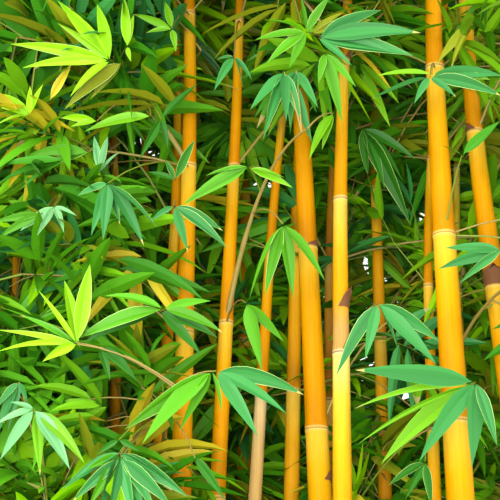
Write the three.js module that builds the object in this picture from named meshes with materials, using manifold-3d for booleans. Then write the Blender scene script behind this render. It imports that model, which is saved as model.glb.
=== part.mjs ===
// A clump of golden bamboo in a plain round clay pot.
// Nineteen canes rise from the soil, flare outwards at the foot, stand upright at eye level and
// arch out at the top. Side branches leave them at their nodes and carry fans of long leaves.
// Millimetres, +Z up. The origin is the middle of the pot's flat underside, and -Y is the front.
import * as THREE from "three";
import { mergeVertices } from "three/addons/utils/BufferGeometryUtils.js";
import Module from "manifold-3d";

const wasm = await Module();
wasm.setup();

const CLEAR = 0.3; // between two pieces that rest on each other
const FACING = 8; // least space between foliage and a cane, or another mass

// The pot and its soil
const POT_HEIGHT = 520;
const POT_FOOT_RADIUS = 225;
const POT_RIM_RADIUS = 340;
const RIM_HEIGHT = 60;
const RIM_STEP = 18;
const RIM_ROUND = 9;
const POT_WALL = 22;
const POT_FLOOR = 28;
const POT_SIDES = 28;
const SOIL_BELOW_RIM = 50;
const SOIL_TOP = POT_HEIGHT - SOIL_BELOW_RIM;

// The canes
const EYE_LEVEL = 2000; // height at which x and y of each cane are given
const FOOT_SHARE = 0.52; // how far out a cane stands in the soil, as a share of its place at eye level
const FLARE_HEIGHT = 1050; // above the soil: by here a cane has turned upright
const THIN_OUT = 0.92; // share of the thickness that is lost by the tip
const THIN_POWER = 1.5;
const ARCH_FROM = 0.55; // of the cane's height
const ARCH_REACH = 0.06; // of the cane's height
const LEAFY_FROM = 0.84; // of the height of a leafy cane: its foliage starts here
const FOOT_SWELL = 1.15;
const FOOT_SWELL_HEIGHT = 35;
const NODE_SWELL = 1.07;
const NODE_WAIST = 0.97;
const NODE_STEP = 9;
const LONGEST_INTERNODE = 0.103; // of the cane's height
const LOWEST_NODE = 70;
const LAST_INTERNODE = 60;
const PLAIN_NODES_FROM = 0.42; // of the cane's height: above this the rings are one step each
const STOUT = 40; // a cane thicker than this has more sides
const STOUT_SIDES = 7;
const SLIM_SIDES = 5;

// The crown: an oval in plan, narrow at the foot and widest two thirds of the way up
const CROWN_LOW = 650;
const CROWN_TOP = 4060;
const CROWN_HALF_WIDTH = 880;
const CROWN_HALF_DEPTH = 640;
const CROWN_BULGE = 1.25; // over 1 lifts the widest place above the middle
const CROWN_FULLNESS = 3; // 2 would be an ellipse

// Branches. A branch's span is its level distance from the cane out to its tip.
const BRANCH_SPAN = 330; // the usual one
const BRANCH_RISE = 0.5; // of the span
const BRANCH_BOW = 0.1; // of the branch's length, that it stands above its higher end
const BRANCH_STEPS = 12; // straight steps that stand for a branch where distances are measured
const BRANCH_APART = 55;
const TIP_INSIDE = 210; // a branch's tip stays this far inside the crown's reach
const WHIP_DROOP = 70; // how far the whip at a leafy cane's tip bows out and down
const BOUGH_THICK = 13;
const BOUGH_SHARE = 0.4; // of a branch's length that is bare bough
const BOUGH_SIDES = 5;
const BOUGH_STEPS = 4;

// Masses: a stem with twigs, and leaves towards the end of each
const STEM_THICK = 11;
const STEM_TIP = 7;
const STEM_TO_CANE = 1.3; // at most this times half the cane's thickness
const LEAST_STOUT = 0.5; // the thinnest stem, as a share of the usual one
const STEM_STEPS = 3;
const TWIG_THICK = 8;
const TWIG_TIP = 5;
const TWIG_LENGTH = [130, 220];
const TWIG_TURN = [38, 72]; // degrees to one side of the stem
const TWIG_PITCH = [-45, 55];
const TWIG_AROUND = 137.5; // degrees from one twig to the next round the tip of a cane
const TWIGS = 6;
const TIP_TWIGS = 8;
const FIRST_TWIG = 0.36; // of the branch's length, where it starts at a cane
const FIRST_TWIG_PAST = 0.14; // of its length past a bough's or a cane's end
const LAST_TWIG = 0.92;
const LEAVES = 4; // on a twig, and on the end of the stem
const MOST_LEAVES = 20; // on one mass
const TRIES = 12; // at a place for each twig and leaf, before it is skipped
const PROBE_STEP = 16; // from point to point where a piece is tested against its neighbours

// Leaves are larger than life, because there are far fewer of them than on the real plant.
const LEAF_LENGTH = 285;
const LEAF_WIDTH = 50;
const LEAF_THICK = 3.5;
const LEAF_WIDEST = 0.36; // of its length
const LEAF_SIZE = [0.8, 1.06];
const LEAF_TURN = 42; // degrees that a leaf turns from its twig
const LEAF_SPREAD = 18; // degrees more or less
const LEAF_PITCH = [-65, 20];
const LEAF_ROLL = [-35, 35];
const LEAF_STAGGER = 26;
const ROOT_SUNK = 5;

// Place at eye level from the pot's axis and lean there in mm per metre, both as X and Y, then
// thickness at the soil, height above the soil, and the height of one node above the soil. A leafy
// cane ends early, and the mass of foliage at its tip carries its line on.
const CANES = [
  { name: "cane_right_front", at: [325, -250], lean: [0, 0], thick: 55, tall: 3100, node: 1515, leafy: true },
  { name: "cane_far_right", at: [420, -150], lean: [-62, 0], thick: 54, tall: 2900, node: 1460 },
  { name: "cane_centre_right", at: [152, -235], lean: [18, 0], thick: 41, tall: 2650, node: 1314 },
  { name: "cane_centre", at: [104, -105], lean: [-28, 8], thick: 48, tall: 3430, node: 1219, leafy: true },
  { name: "cane_left_front", at: [-108, -195], lean: [4, 0], thick: 42, tall: 3000, node: 1362, leafy: true },
  { name: "cane_left_second", at: [-140, -75], lean: [40, 20], thick: 31, tall: 2750, node: 1330 },
  { name: "cane_centre_left", at: [-36, -130], lean: [42, 0], thick: 35, tall: 2950, node: 1700 },
  { name: "cane_inner_left", at: [34, -42], lean: [62, 10], thick: 31, tall: 2700, node: 1297 },
  { name: "cane_inner_right", at: [85, 28], lean: [30, 0], thick: 36, tall: 3000, node: 1324 },
  { name: "cane_back_inner", at: [152, 85], lean: [20, 0], thick: 30, tall: 2750, node: 1600 },
  { name: "cane_right_inner", at: [250, 110], lean: [9, 9], thick: 34, tall: 3080, node: 1450, leafy: true },
  { name: "cane_right_second", at: [330, 0], lean: [20, 0], thick: 31, tall: 2600, node: 1250 },
  { name: "cane_right_back", at: [405, 120], lean: [15, 25], thick: 28, tall: 2700, node: 1550 },
  { name: "cane_left_third", at: [-245, -10], lean: [-20, 0], thick: 28, tall: 2650, node: 1230 },
  { name: "cane_left_inner", at: [-200, 130], lean: [-25, 20], thick: 27, tall: 2850, node: 1400 },
  { name: "cane_far_left", at: [-440, 40], lean: [-20, 0], thick: 26, tall: 2550, node: 1500 },
  { name: "cane_back", at: [-10, 215], lean: [0, 30], thick: 38, tall: 3250, node: 1480, leafy: true },
  { name: "cane_back_right", at: [185, 265], lean: [20, 30], thick: 34, tall: 2850, node: 1380 },
  { name: "cane_back_left", at: [-320, 195], lean: [-30, 9], thick: 36, tall: 2950, node: 1440, leafy: true },
];

// Rings of foliage masses round the canes, from the lowest up: height of their tips, how many, the
// bearing of the first, and which of them hang on a bare bough.
const MASS_RINGS = [
  { name: "low", tips: 1390, count: 4, first: 315, boughs: [] },
  { name: "lower", tips: 1790, count: 5, first: 255, boughs: [0, 1] },
  { name: "middle", tips: 2200, count: 6, first: 282, boughs: [0, 1, 2, 3, 4, 5] },
  { name: "upper", tips: 2610, count: 5, first: 250, boughs: [] },
  { name: "high", tips: 3010, count: 4, first: 285, boughs: [] },
];
const RING_ZIGZAG = 105; // tips stand this much above and below their ring in turn

const MATERIALS = {
  cane: new THREE.MeshStandardMaterial({ name: "golden_cane", color: 0xf0a818, roughness: 0.38 }),
  bough: new THREE.MeshStandardMaterial({ name: "tan_branch", color: 0xb89a4a, roughness: 0.6 }),
  leaf: new THREE.MeshStandardMaterial({ name: "bamboo_leaf", color: 0x2f8f2c, roughness: 0.45 }),
  pot: new THREE.MeshStandardMaterial({ name: "fired_clay", color: 0xb5654a, roughness: 0.85 }),
  soil: new THREE.MeshStandardMaterial({ name: "potting_soil", color: 0x3b2a1e, roughness: 0.95 }),
};

// A run of numbers from 0 to 1 that is the same each time for the same seed.
function seeded(seed) {
  let state = seed * 7919;
  return () => {
    state = (state + 0x6d2b79f5) | 0;
    let mixed = Math.imul(state ^ (state >>> 15), 1 | state);
    mixed = (mixed + Math.imul(mixed ^ (mixed >>> 7), 61 | mixed)) ^ mixed;
    return ((mixed ^ (mixed >>> 14)) >>> 0) / 2 ** 32;
  };
}

const between = (random, [low, high]) => low + (high - low) * random();
const degrees = THREE.MathUtils.degToRad;

// A closed geometry as a solid that can be joined or cut.
function solidOf(geometry) {
  const bare = geometry.index ? geometry.toNonIndexed() : geometry.clone();
  bare.deleteAttribute("normal");
  bare.deleteAttribute("uv");
  const merged = mergeVertices(bare, 1e-3);
  const mesh = new wasm.Mesh({
    numProp: 3,
    vertProperties: merged.attributes.position.array,
    triVerts: new Uint32Array(merged.index.array),
  });
  return new wasm.Manifold(mesh);
}

function geometryOf(solid) {
  const mesh = solid.getMesh();
  const geometry = new THREE.BufferGeometry();
  geometry.setAttribute("position", new THREE.BufferAttribute(mesh.vertProperties, 3));
  geometry.setIndex(new THREE.BufferAttribute(mesh.triVerts, 1));
  geometry.computeVertexNormals();
  return geometry;
}

function addMesh(group, name, geometry, material) {
  const mesh = new THREE.Mesh(geometry, material);
  mesh.name = name;
  group.add(mesh);
}

// Moves the vertices of a geometry that stands on its own Y axis onto a Z-up place.
function moveVertices(geometry, place) {
  const position = geometry.attributes.position;
  const point = new THREE.Vector3();
  for (let i = 0; i < position.count; i += 1) {
    place(point.fromBufferAttribute(position, i));
    position.setXYZ(i, point.x, point.y, point.z);
  }
  return geometry;
}

// The wall's outer radius under the rim, and the inner radius, at a height.
const wallRadius = (z) =>
  THREE.MathUtils.mapLinear(z, 0, POT_HEIGHT, POT_FOOT_RADIUS, POT_RIM_RADIUS - RIM_STEP + RIM_ROUND);
const innerRadius = (z) => wallRadius(z) - POT_WALL;

function potGeometry() {
  const rimFoot = POT_HEIGHT - RIM_HEIGHT;
  const profile = [
    new THREE.Vector2(0, 0),
    new THREE.Vector2(POT_FOOT_RADIUS - RIM_ROUND, 0),
    new THREE.Vector2(wallRadius(RIM_ROUND), RIM_ROUND),
    new THREE.Vector2(wallRadius(rimFoot), rimFoot),
    new THREE.Vector2(POT_RIM_RADIUS - RIM_ROUND / 2, rimFoot + RIM_ROUND / 2),
    new THREE.Vector2(POT_RIM_RADIUS, rimFoot + 2 * RIM_ROUND),
    new THREE.Vector2(POT_RIM_RADIUS, POT_HEIGHT - RIM_ROUND),
    new THREE.Vector2(POT_RIM_RADIUS - RIM_ROUND, POT_HEIGHT),
    new THREE.Vector2(innerRadius(POT_HEIGHT) + RIM_ROUND, POT_HEIGHT),
    new THREE.Vector2(innerRadius(POT_HEIGHT - RIM_ROUND), POT_HEIGHT - RIM_ROUND),
    new THREE.Vector2(innerRadius(POT_FLOOR), POT_FLOOR),
    new THREE.Vector2(0, POT_FLOOR),
  ];
  return new THREE.LatheGeometry(profile, POT_SIDES).rotateX(Math.PI / 2);
}

function soilGeometry() {
  const low = POT_FLOOR + CLEAR;
  const profile = [
    new THREE.Vector2(0, low),
    new THREE.Vector2(innerRadius(low) - 2 * CLEAR, low),
    new THREE.Vector2(innerRadius(SOIL_TOP) - 2 * CLEAR, SOIL_TOP),
    new THREE.Vector2(0, SOIL_TOP),
  ];
  return new THREE.LatheGeometry(profile, POT_SIDES).rotateX(Math.PI / 2);
}

// Half a cane's thickness at a height above the soil.
function caneRadius(cane, h) {
  const share = THREE.MathUtils.clamp(h / cane.tall, 0, 1);
  return (cane.thick / 2) * (1 - THIN_OUT * share ** THIN_POWER);
}

// The middle of a cane at a height above the soil: a flared foot, an upright run, an arched top.
function caneMiddle(cane, h) {
  const flare = 1 - (1 - Math.min(h / FLARE_HEIGHT, 1)) ** 2;
  const share = FOOT_SHARE + (1 - FOOT_SHARE) * flare;
  const metres = (flare * (Math.max(h, FLARE_HEIGHT) - (EYE_LEVEL - SOIL_TOP))) / 1000;
  const bent = Math.max(0, (h / cane.tall - ARCH_FROM) / (1 - ARCH_FROM));
  const arch = (ARCH_REACH * cane.tall * bent ** 2) / Math.hypot(...cane.at);
  const [x, y] = cane.at.map((place, i) => place * (share + arch) + cane.lean[i] * metres);
  return new THREE.Vector3(x, y, SOIL_TOP + CLEAR + h);
}

// Internodes are short at the foot and the tip, and longest half way up.
const internode = (cane, h) =>
  LONGEST_INTERNODE * cane.tall * Math.sin(Math.PI * (0.12 + 0.76 * (h / cane.tall)));

// Heights of a cane's nodes above the soil, worked out both ways from the one that is given.
function caneNodes(cane) {
  const up = (h) => h + internode(cane, h);
  const down = (h) => h - internode(cane, h);
  const nodes = [cane.node];
  for (let h = up(cane.node); h < cane.tall - LAST_INTERNODE; h = up(h)) nodes.push(h);
  for (let h = down(cane.node); h > LOWEST_NODE; h = down(h)) nodes.unshift(h);
  return nodes;
}

// A cane's outline from the soil to its tip, as radius and height: a step at each node, where the
// ring stands out and the next internode begins a little slimmer.
function caneProfile(cane) {
  const profile = [
    new THREE.Vector2(caneRadius(cane, 0) * FOOT_SWELL, 0),
    new THREE.Vector2(caneRadius(cane, FOOT_SWELL_HEIGHT), FOOT_SWELL_HEIGHT),
  ];
  const top = cane.leafy ? cane.tall * LEAFY_FROM : cane.tall;
  for (const h of caneNodes(cane).filter((node) => node < top - NODE_STEP)) {
    const radius = caneRadius(cane, h);
    if (h < cane.tall * PLAIN_NODES_FROM) {
      profile.push(new THREE.Vector2(radius * NODE_SWELL, h));
      profile.push(new THREE.Vector2(radius * NODE_WAIST, h + NODE_STEP));
    } else {
      profile.push(new THREE.Vector2(radius, h));
    }
  }
  if (cane.leafy) profile.push(new THREE.Vector2(caneRadius(cane, top), top));
  profile.push(new THREE.Vector2(0, top));
  return profile;
}

// A cane turned about its own middle and then bent to its line, thicker all round by an allowance.
function caneGeometry(cane, allowance) {
  const sides = cane.thick > STOUT ? STOUT_SIDES : SLIM_SIDES;
  const outward = allowance / Math.cos(Math.PI / sides);
  const profile = caneProfile(cane).map((p) => new THREE.Vector2(p.x + (p.x && outward), p.y));
  profile.unshift(new THREE.Vector2(0, 0));
  profile[profile.length - 1].y += allowance;
  const turned = new THREE.LatheGeometry(profile, sides).rotateX(Math.PI / 2);
  return moveVertices(turned, (p) => {
    const middle = caneMiddle(cane, p.z);
    p.set(p.x + middle.x, p.y + middle.y, middle.z);
  });
}

// How far out the crown reaches at a height and a bearing.
function crownReach(z, bearing) {
  const up = THREE.MathUtils.clamp((z - CROWN_LOW) / (CROWN_TOP - CROWN_LOW), 0, 1) ** CROWN_BULGE;
  const full = (1 - Math.abs(2 * up - 1) ** CROWN_FULLNESS) ** (1 / CROWN_FULLNESS);
  const oval = Math.hypot(Math.cos(bearing) / CROWN_HALF_WIDTH, Math.sin(bearing) / CROWN_HALF_DEPTH);
  return full / oval;
}

const inCrown = (point) =>
  Math.hypot(point.x, point.y) < crownReach(point.z, Math.atan2(point.y, point.x));

// How far a point is from a cane's skin, measured level.
function caneDistance(cane, point) {
  const h = THREE.MathUtils.clamp(point.z - SOIL_TOP - CLEAR, 0, cane.tall);
  const middle = caneMiddle(cane, h);
  return point.distanceTo(middle) - caneRadius(cane, h) * NODE_SWELL;
}

// The distance from a point to the straight steps of a branch, up to a share of its length.
function branchDistance(steps, point, share = 1) {
  const step = new THREE.Line3();
  const nearest = new THREE.Vector3();
  let least = Infinity;
  for (let i = 0; i < BRANCH_STEPS * share; i += 1) {
    step.set(steps[i], steps[i + 1]).closestPointToPoint(point, true, nearest);
    least = Math.min(least, nearest.distanceTo(point));
  }
  return least;
}

// A branch leaves the middle of its cane at a node, rises steeply, and bows over to its tip.
function branchCurve(foot, tip) {
  const bend = foot.clone().lerp(tip, 0.4);
  bend.z = Math.max(foot.z, tip.z) + BRANCH_BOW * foot.distanceTo(tip);
  return new THREE.QuadraticBezierCurve3(foot, bend, tip);
}

// The branch that suits a tip best: of the usual span and rise, and clear of every other cane and
// of the branches already there.
function branchTo(tip, masses, least) {
  const offers = [];
  for (const cane of CANES) {
    for (const h of caneNodes(cane)) {
      const foot = caneMiddle(cane, h);
      const span = Math.hypot(tip.x - foot.x, tip.y - foot.y);
      const miss = Math.abs(span - BRANCH_SPAN) + Math.abs(tip.z - foot.z - BRANCH_RISE * span);
      const stout = Math.min(1, (STEM_TO_CANE * caneRadius(cane, h)) / STEM_THICK);
      if (stout > least) offers.push({ cane, foot, miss, stout });
    }
  }
  offers.sort((a, b) => a.miss - b.miss);
  for (const { cane, foot, stout } of offers) {
    const curve = branchCurve(foot, tip);
    const steps = curve.getPoints(BRANCH_STEPS);
    const points = curve.getPoints(4 * BRANCH_STEPS);
    const free = points.every((p, i) => {
      const leaving = i < BRANCH_STEPS;
      const others = leaving ? CANES.filter((other) => other !== cane) : CANES;
      const clear = others.every((other) => caneDistance(other, p) > STEM_THICK);
      return clear && masses.every((mass) => branchDistance(mass.steps, p) > BRANCH_APART);
    });
    if (free) return { cane, curve, steps, stout };
  }
  throw new Error("no free branch");
}

// The whip that carries a leafy cane's line on, and bows over at its end.
function whipCurve(cane) {
  const foot = caneMiddle(cane, cane.tall * LEAFY_FROM);
  const end = caneMiddle(cane, cane.tall);
  const bend = foot.clone().lerp(end, 0.6);
  const out = new THREE.Vector3(...cane.at, 0).setLength(WHIP_DROOP);
  return new THREE.QuadraticBezierCurve3(foot, bend, end.add(out).setZ(end.z - WHIP_DROOP));
}

// Every mass with its branch: those at the tips of the leafy canes, then ring by ring.
function plannedMasses() {
  const masses = CANES.filter((cane) => cane.leafy).map((cane, i) => {
    const curve = whipCurve(cane);
    const steps = curve.getPoints(BRANCH_STEPS);
    const stout = (2 * caneRadius(cane, cane.tall * LEAFY_FROM)) / STEM_THICK;
    const name = cane.name.replace("cane_", "tip_");
    return { name, seed: i + 1, bough: 0, cane, curve, steps, stout, around: true };
  });
  MASS_RINGS.forEach((ring, level) => {
    for (let i = 0; i < ring.count; i += 1) {
      const bearing = degrees(ring.first + (360 * i) / ring.count);
      const reach = crownReach(ring.tips, bearing) - TIP_INSIDE;
      const height = ring.tips + RING_ZIGZAG * (i % 2 ? 1 : -1);
      const tip = new THREE.Vector3(reach * Math.cos(bearing), reach * Math.sin(bearing), height);
      const bough = ring.boughs.includes(i) ? BOUGH_SHARE : 0;
      masses.push({
        name: `${ring.name}_${i + 1}`,
        seed: 100 * (level + 1) + i,
        bough,
        ...branchTo(tip, masses, bough ? 0.99 : LEAST_STOUT),
      });
    }
  });
  return masses;
}

// A tapering limb with a few flat sides along part of a curve.
function limbGeometry(curve, from, to, thick, thin, sides, steps) {
  const straight = new THREE.CylinderGeometry(thin / 2, thick / 2, 1, sides, steps);
  const frame = new THREE.Matrix4();
  const upward = new THREE.Vector3(0, 0, 1);
  return moveVertices(straight, (p) => {
    const at = from + (to - from) * (p.y + 0.5);
    const along = curve.getTangent(at);
    const across = new THREE.Vector3().crossVectors(along, upward).normalize();
    const second = new THREE.Vector3().crossVectors(across, along);
    frame.makeBasis(across, along, second).setPosition(curve.getPoint(at));
    p.y = 0;
    p.applyMatrix4(frame);
  });
}

// A leaf: a long blade pointed at both ends, widest nearer its root, with a low keel along it.
function leafGeometry(root, along, roll, size) {
  const across = new THREE.Vector3().crossVectors(along, new THREE.Vector3(0, 0, 1)).normalize();
  across.applyAxisAngle(along, roll);
  const face = new THREE.Vector3().crossVectors(across, along);
  const frame = new THREE.Matrix4().makeBasis(across, along, face).setPosition(root);
  const profile = [[0, 0], [1, LEAF_WIDEST], [0, 1]].map(([r, y]) => new THREE.Vector2(r, y));
  const wide = LEAF_WIDTH / Math.sqrt(3); // a triangle with corners 1 out is this much across
  const deep = LEAF_THICK / 1.5; // and this much deep
  return moveVertices(new THREE.LatheGeometry(profile, 3), (p) => {
    p.set(p.x * wide * size, p.y * LEAF_LENGTH * size, p.z * deep);
    p.applyMatrix4(frame);
  });
}

// Points spread along a geometry's edges, to test it against its neighbours.
function probes(geometry) {
  const { position } = (geometry.index ? geometry.toNonIndexed() : geometry).attributes;
  const found = [];
  const start = new THREE.Vector3();
  const end = new THREE.Vector3();
  for (let i = 0; i < position.count; i += 3) {
    for (let k = 0; k < 3; k += 1) {
      start.fromBufferAttribute(position, i + k);
      end.fromBufferAttribute(position, i + ((k + 1) % 3));
      const count = Math.ceil(start.distanceTo(end) / PROBE_STEP);
      for (let n = 0; n < count; n += 1) found.push(start.clone().lerp(end, n / count));
    }
  }
  return found;
}

// A piece fits a mass where it is inside the crown, clear of the canes and of the mass's own
// bough, and nearer its own branch than any other.
function fits(geometry, mass, masses) {
  return probes(geometry).every((p) => {
    if (!inCrown(p) || CANES.some((cane) => caneDistance(cane, p) < FACING)) return false;
    if (branchDistance(mass.steps, p, mass.bough) < BOUGH_THICK) return false;
    const own = branchDistance(mass.steps, p) + FACING;
    return masses.every((other) => other === mass || branchDistance(other.steps, p) > own);
  });
}

// The first of a few tries at a piece that passes a test, or nothing.
function firstThat(passes, make) {
  for (let i = 0; i < TRIES; i += 1) {
    const piece = make();
    if (passes(piece)) return piece;
  }
  return null;
}

// A direction from a bearing and a pitch in radians.
const direction = (bearing, pitch) =>
  new THREE.Vector3(Math.cos(bearing), Math.sin(bearing), Math.tan(pitch)).normalize();

// A direction turned to one side of another, and pitched up or down, in degrees.
const sideways = (along, turn, pitch) =>
  direction(Math.atan2(along.y, along.x) + degrees(turn), degrees(pitch));

// The twigs and leaves of one mass. Twigs leave the stem on both sides in turn, and leaves stand
// on both sides in turn along the end of each. Each is tried a few times, and skipped where it
// would leave the mass's space, touch a limb or cross another leaf.
function massSolid(mass, masses) {
  const random = seeded(mass.seed);
  const { curve, stout, around } = mass;
  const carriesOn = mass.bough || around;
  const stemFrom = carriesOn ? mass.bough + CLEAR / curve.getLength() : 0;
  const stem = limbGeometry(curve, stemFrom, 1, STEM_THICK * stout, STEM_TIP * stout, 3, STEM_STEPS);
  const pieces = [solidOf(stem)];
  const leaves = [];
  const isFree = (leaf) =>
    fits(leaf, mass, masses) && leaves.every((other) => solidOf(leaf).intersect(other).isEmpty());

  const addLeaves = (end, along) => {
    const before = leaves.length;
    for (let i = 0; i < LEAVES && leaves.length < MOST_LEAVES; i += 1) {
      const root = end.clone().addScaledVector(along, -ROOT_SUNK - i * LEAF_STAGGER);
      const side = i && LEAF_TURN * (i % 2 ? 1 : -1);
      const leaf = firstThat(isFree, () => {
        const turn = side + between(random, [-LEAF_SPREAD, LEAF_SPREAD]);
        const way = sideways(along, turn, between(random, LEAF_PITCH));
        return leafGeometry(root, way, degrees(between(random, LEAF_ROLL)), between(random, LEAF_SIZE));
      });
      if (leaf) leaves.push(solidOf(leaf));
    }
    return leaves.length > before;
  };

  const first = carriesOn ? mass.bough + FIRST_TWIG_PAST : FIRST_TWIG;
  const count = around ? TIP_TWIGS : TWIGS;
  for (let i = 0; i < count; i += 1) {
    const at = THREE.MathUtils.lerp(first, LAST_TWIG, i / (count - 1));
    const root = curve.getPoint(at);
    const along = curve.getTangent(at);
    const line = firstThat(
      (twig) => fits(limbGeometry(twig, 0, 1, TWIG_THICK, TWIG_TIP, 3, 1), mass, masses),
      () => {
        const turn = around ? i * TWIG_AROUND : (i % 2 ? 1 : -1) * between(random, TWIG_TURN);
        const way = sideways(along, turn, between(random, TWIG_PITCH));
        return new THREE.LineCurve3(root, root.clone().addScaledVector(way, between(random, TWIG_LENGTH)));
      },
    );
    if (line && addLeaves(line.v2, line.getTangent(1))) {
      pieces.push(solidOf(limbGeometry(line, 0, 1, TWIG_THICK * stout, TWIG_TIP * stout, 3, 1)));
    }
  }
  addLeaves(curve.getPoint(1), curve.getTangent(1));
  return wasm.Manifold.union([...pieces, ...leaves]);
}

// What is left of a solid once its cane's room is cut out of it, without loose scraps.
function cutClear(solid, room) {
  const bodies = solid.subtract(room).decompose();
  return bodies.reduce((a, b) => (a.volume() > b.volume() ? a : b));
}

const bamboo = new THREE.Group();
addMesh(bamboo, "pot", potGeometry(), MATERIALS.pot);
addMesh(bamboo, "soil", soilGeometry(), MATERIALS.soil);
for (const cane of CANES) addMesh(bamboo, cane.name, caneGeometry(cane, 0), MATERIALS.cane);

const masses = plannedMasses();
for (const mass of masses) {
  const room = solidOf(caneGeometry(mass.cane, CLEAR));
  const foliage = massSolid(mass, masses);
  if (mass.bough) {
    const limb = limbGeometry(mass.curve, 0, mass.bough, BOUGH_THICK, STEM_THICK, BOUGH_SIDES, BOUGH_STEPS);
    addMesh(bamboo, `bough_${mass.name}`, geometryOf(cutClear(solidOf(limb), room)), MATERIALS.bough);
  }
  addMesh(bamboo, `foliage_${mass.name}`, geometryOf(cutClear(foliage, room)), MATERIALS.leaf);
}

export default bamboo;
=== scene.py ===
# A clump of golden bamboo in a plain clay pot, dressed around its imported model.
#
# The canes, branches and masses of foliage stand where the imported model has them, worked out by
# the same rules from the same sizes. Each mass is grown again with finer twigs and leaves of the
# real size. Lengths are in millimetres until a mesh is made, +Z is up, and -Y is the front.
import math
from dataclasses import dataclass

import bpy
import numpy as np
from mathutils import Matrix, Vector


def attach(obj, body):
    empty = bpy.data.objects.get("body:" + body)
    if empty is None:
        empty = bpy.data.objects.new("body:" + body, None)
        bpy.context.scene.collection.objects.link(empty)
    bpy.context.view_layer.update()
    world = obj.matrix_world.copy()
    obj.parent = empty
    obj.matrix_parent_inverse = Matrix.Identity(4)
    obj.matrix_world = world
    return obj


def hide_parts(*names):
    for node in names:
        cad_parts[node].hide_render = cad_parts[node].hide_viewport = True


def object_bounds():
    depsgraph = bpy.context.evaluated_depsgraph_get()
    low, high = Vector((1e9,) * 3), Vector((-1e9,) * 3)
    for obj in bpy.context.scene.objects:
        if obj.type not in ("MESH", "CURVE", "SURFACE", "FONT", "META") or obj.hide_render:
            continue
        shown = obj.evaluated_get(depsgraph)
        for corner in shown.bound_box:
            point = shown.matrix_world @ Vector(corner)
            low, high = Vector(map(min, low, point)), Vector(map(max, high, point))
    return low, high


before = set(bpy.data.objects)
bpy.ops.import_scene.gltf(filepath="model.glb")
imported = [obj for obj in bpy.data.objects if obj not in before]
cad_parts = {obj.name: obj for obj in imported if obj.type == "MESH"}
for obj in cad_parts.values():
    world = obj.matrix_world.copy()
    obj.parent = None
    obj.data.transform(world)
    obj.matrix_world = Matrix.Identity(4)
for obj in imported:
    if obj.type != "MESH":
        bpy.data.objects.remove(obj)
cad_box = [list(corner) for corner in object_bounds()]

MM = 0.001
DOWN = np.array([0.0, 0.0, -1.0])

# Seeds of the random draws
TONE_SEED = 9
SHEATH_SEED = 12
SOIL_SEED = 5
FRONT_SEED = 31
MASS_SEED = 1000
NODE_SEED = 77

# The pot and its soil, as in the model
CLEAR = 0.3
POT_HEIGHT = 520
POT_FOOT_RADIUS = 225
POT_RIM_RADIUS = 340
RIM_HEIGHT = 60
RIM_STEP = 18
RIM_ROUND = 9
POT_WALL = 22
POT_FLOOR = 28
SOIL_TOP = POT_HEIGHT - 50

# The lines of the canes, as in the model
EYE_LEVEL = 2000
FOOT_SHARE = 0.52
FLARE_HEIGHT = 1050
THIN_OUT = 0.92
THIN_POWER = 1.5
ARCH_FROM = 0.55
ARCH_REACH = 0.06
LEAFY_FROM = 0.84
FOOT_SWELL = 1.15
FOOT_SWELL_HEIGHT = 35
NODE_SWELL = 1.07
LONGEST_INTERNODE = 0.103
LOWEST_NODE = 70
LAST_INTERNODE = 60
INTERNODE_START = 0.12  # of half a wave, because internodes are longest halfway up
INTERNODE_SPAN = 0.76

# The crown and its branches, as in the model
CROWN_LOW = 650
CROWN_TOP = 4060
CROWN_HALF_WIDTH = 880
CROWN_HALF_DEPTH = 640
CROWN_BULGE = 1.25
CROWN_FULLNESS = 3
BRANCH_SPAN = 330
BRANCH_RISE = 0.5
BRANCH_BOW = 0.1
BRANCH_BEND = 0.4
BRANCH_STEPS = 12
BRANCH_APART = 55
TIP_INSIDE = 210
WHIP_DROOP = 70
WHIP_BEND = 0.6
BOUGH_THICK = 13
BOUGH_SHARE = 0.4
STEM_THICK = 11
STEM_TO_CANE = 1.3
LEAST_STOUT = 0.5
LEAST_STOUT_BOUGH = 0.99
RINGS = [
    # name, height of the tips, how many, bearing of the first, which hang on a bare bough
    ("low", 1390, 4, 315, ()),
    ("lower", 1790, 5, 255, (0, 1)),
    ("middle", 2200, 6, 282, (0, 1, 2, 3, 4, 5)),
    ("upper", 2610, 5, 250, ()),
    ("high", 3010, 4, 285, ()),
]
RING_ZIGZAG = 105

# Twigs and leaves at their real size
TWIGS_ON_STEM = 13
FIRST_TWIG = 0.3
FIRST_TWIG_PAST = 0.08
LAST_TWIG = 0.97
TWIG_LENGTH = (110, 250)
TWIG_SHORTER = 0.35  # at the end of the stem, as a share
TWIG_TURN = (30, 80)
TWIG_PITCH = (-35, 60)
TWIG_ROUND = 137.5  # from twig to twig round a whip
TWIG_THICK = 4.4
TWIG_THIN = 0.8 * TWIG_THICK
TWIG_TAPER = 0.45
TWIG_POINTS = 6
TWIG_BOW = (0.2, 0.7)
TWIG_TRIES = 3  # each turned by up to RETRY_TURN from the last, and shorter
RETRY_TURN = 30
RETRY_LENGTH = 0.8
TIP_TWIGS = 3
TIP_TWIGS_AT = 0.985
TIP_TWIG_TURN = (-45, 45)
TIP_TWIG_PITCH = (-40, 40)
TIP_TWIG_LENGTH = (50, 120)
SHOOT_LENGTH = (25, 85)
SHOOT_TURN = (25, 65)
SHOOT_PITCH = (-35, 20)
SHOOT_LIFT = 3
SHOOT_THICK = 2.2
SHOOT_RADII = SHOOT_THICK * np.array([0.5, 0.4, 0.25])
SHOOTS_FROM, SHOOTS_TO = 0.35, 0.88
SHOOTS = (2, 5)
LEAVES = (5, 9)
LEAF_LENGTH = (95, 185)
LEAF_SLIM = (0.145, 0.19)  # width as a share of length
LEAF_GAP = 9  # from leaf to leaf along the end of a shoot
LEAF_DROOP = (0.1, 0.75)
LEAF_CLEAR = 3
LEAF_LIFT = (-0.25, 0.3)
LEAF_UNEVEN = (0.85, 1.1)
LEAF_FADE = 0.3  # how much shorter the leaves are away from the longest
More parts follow.
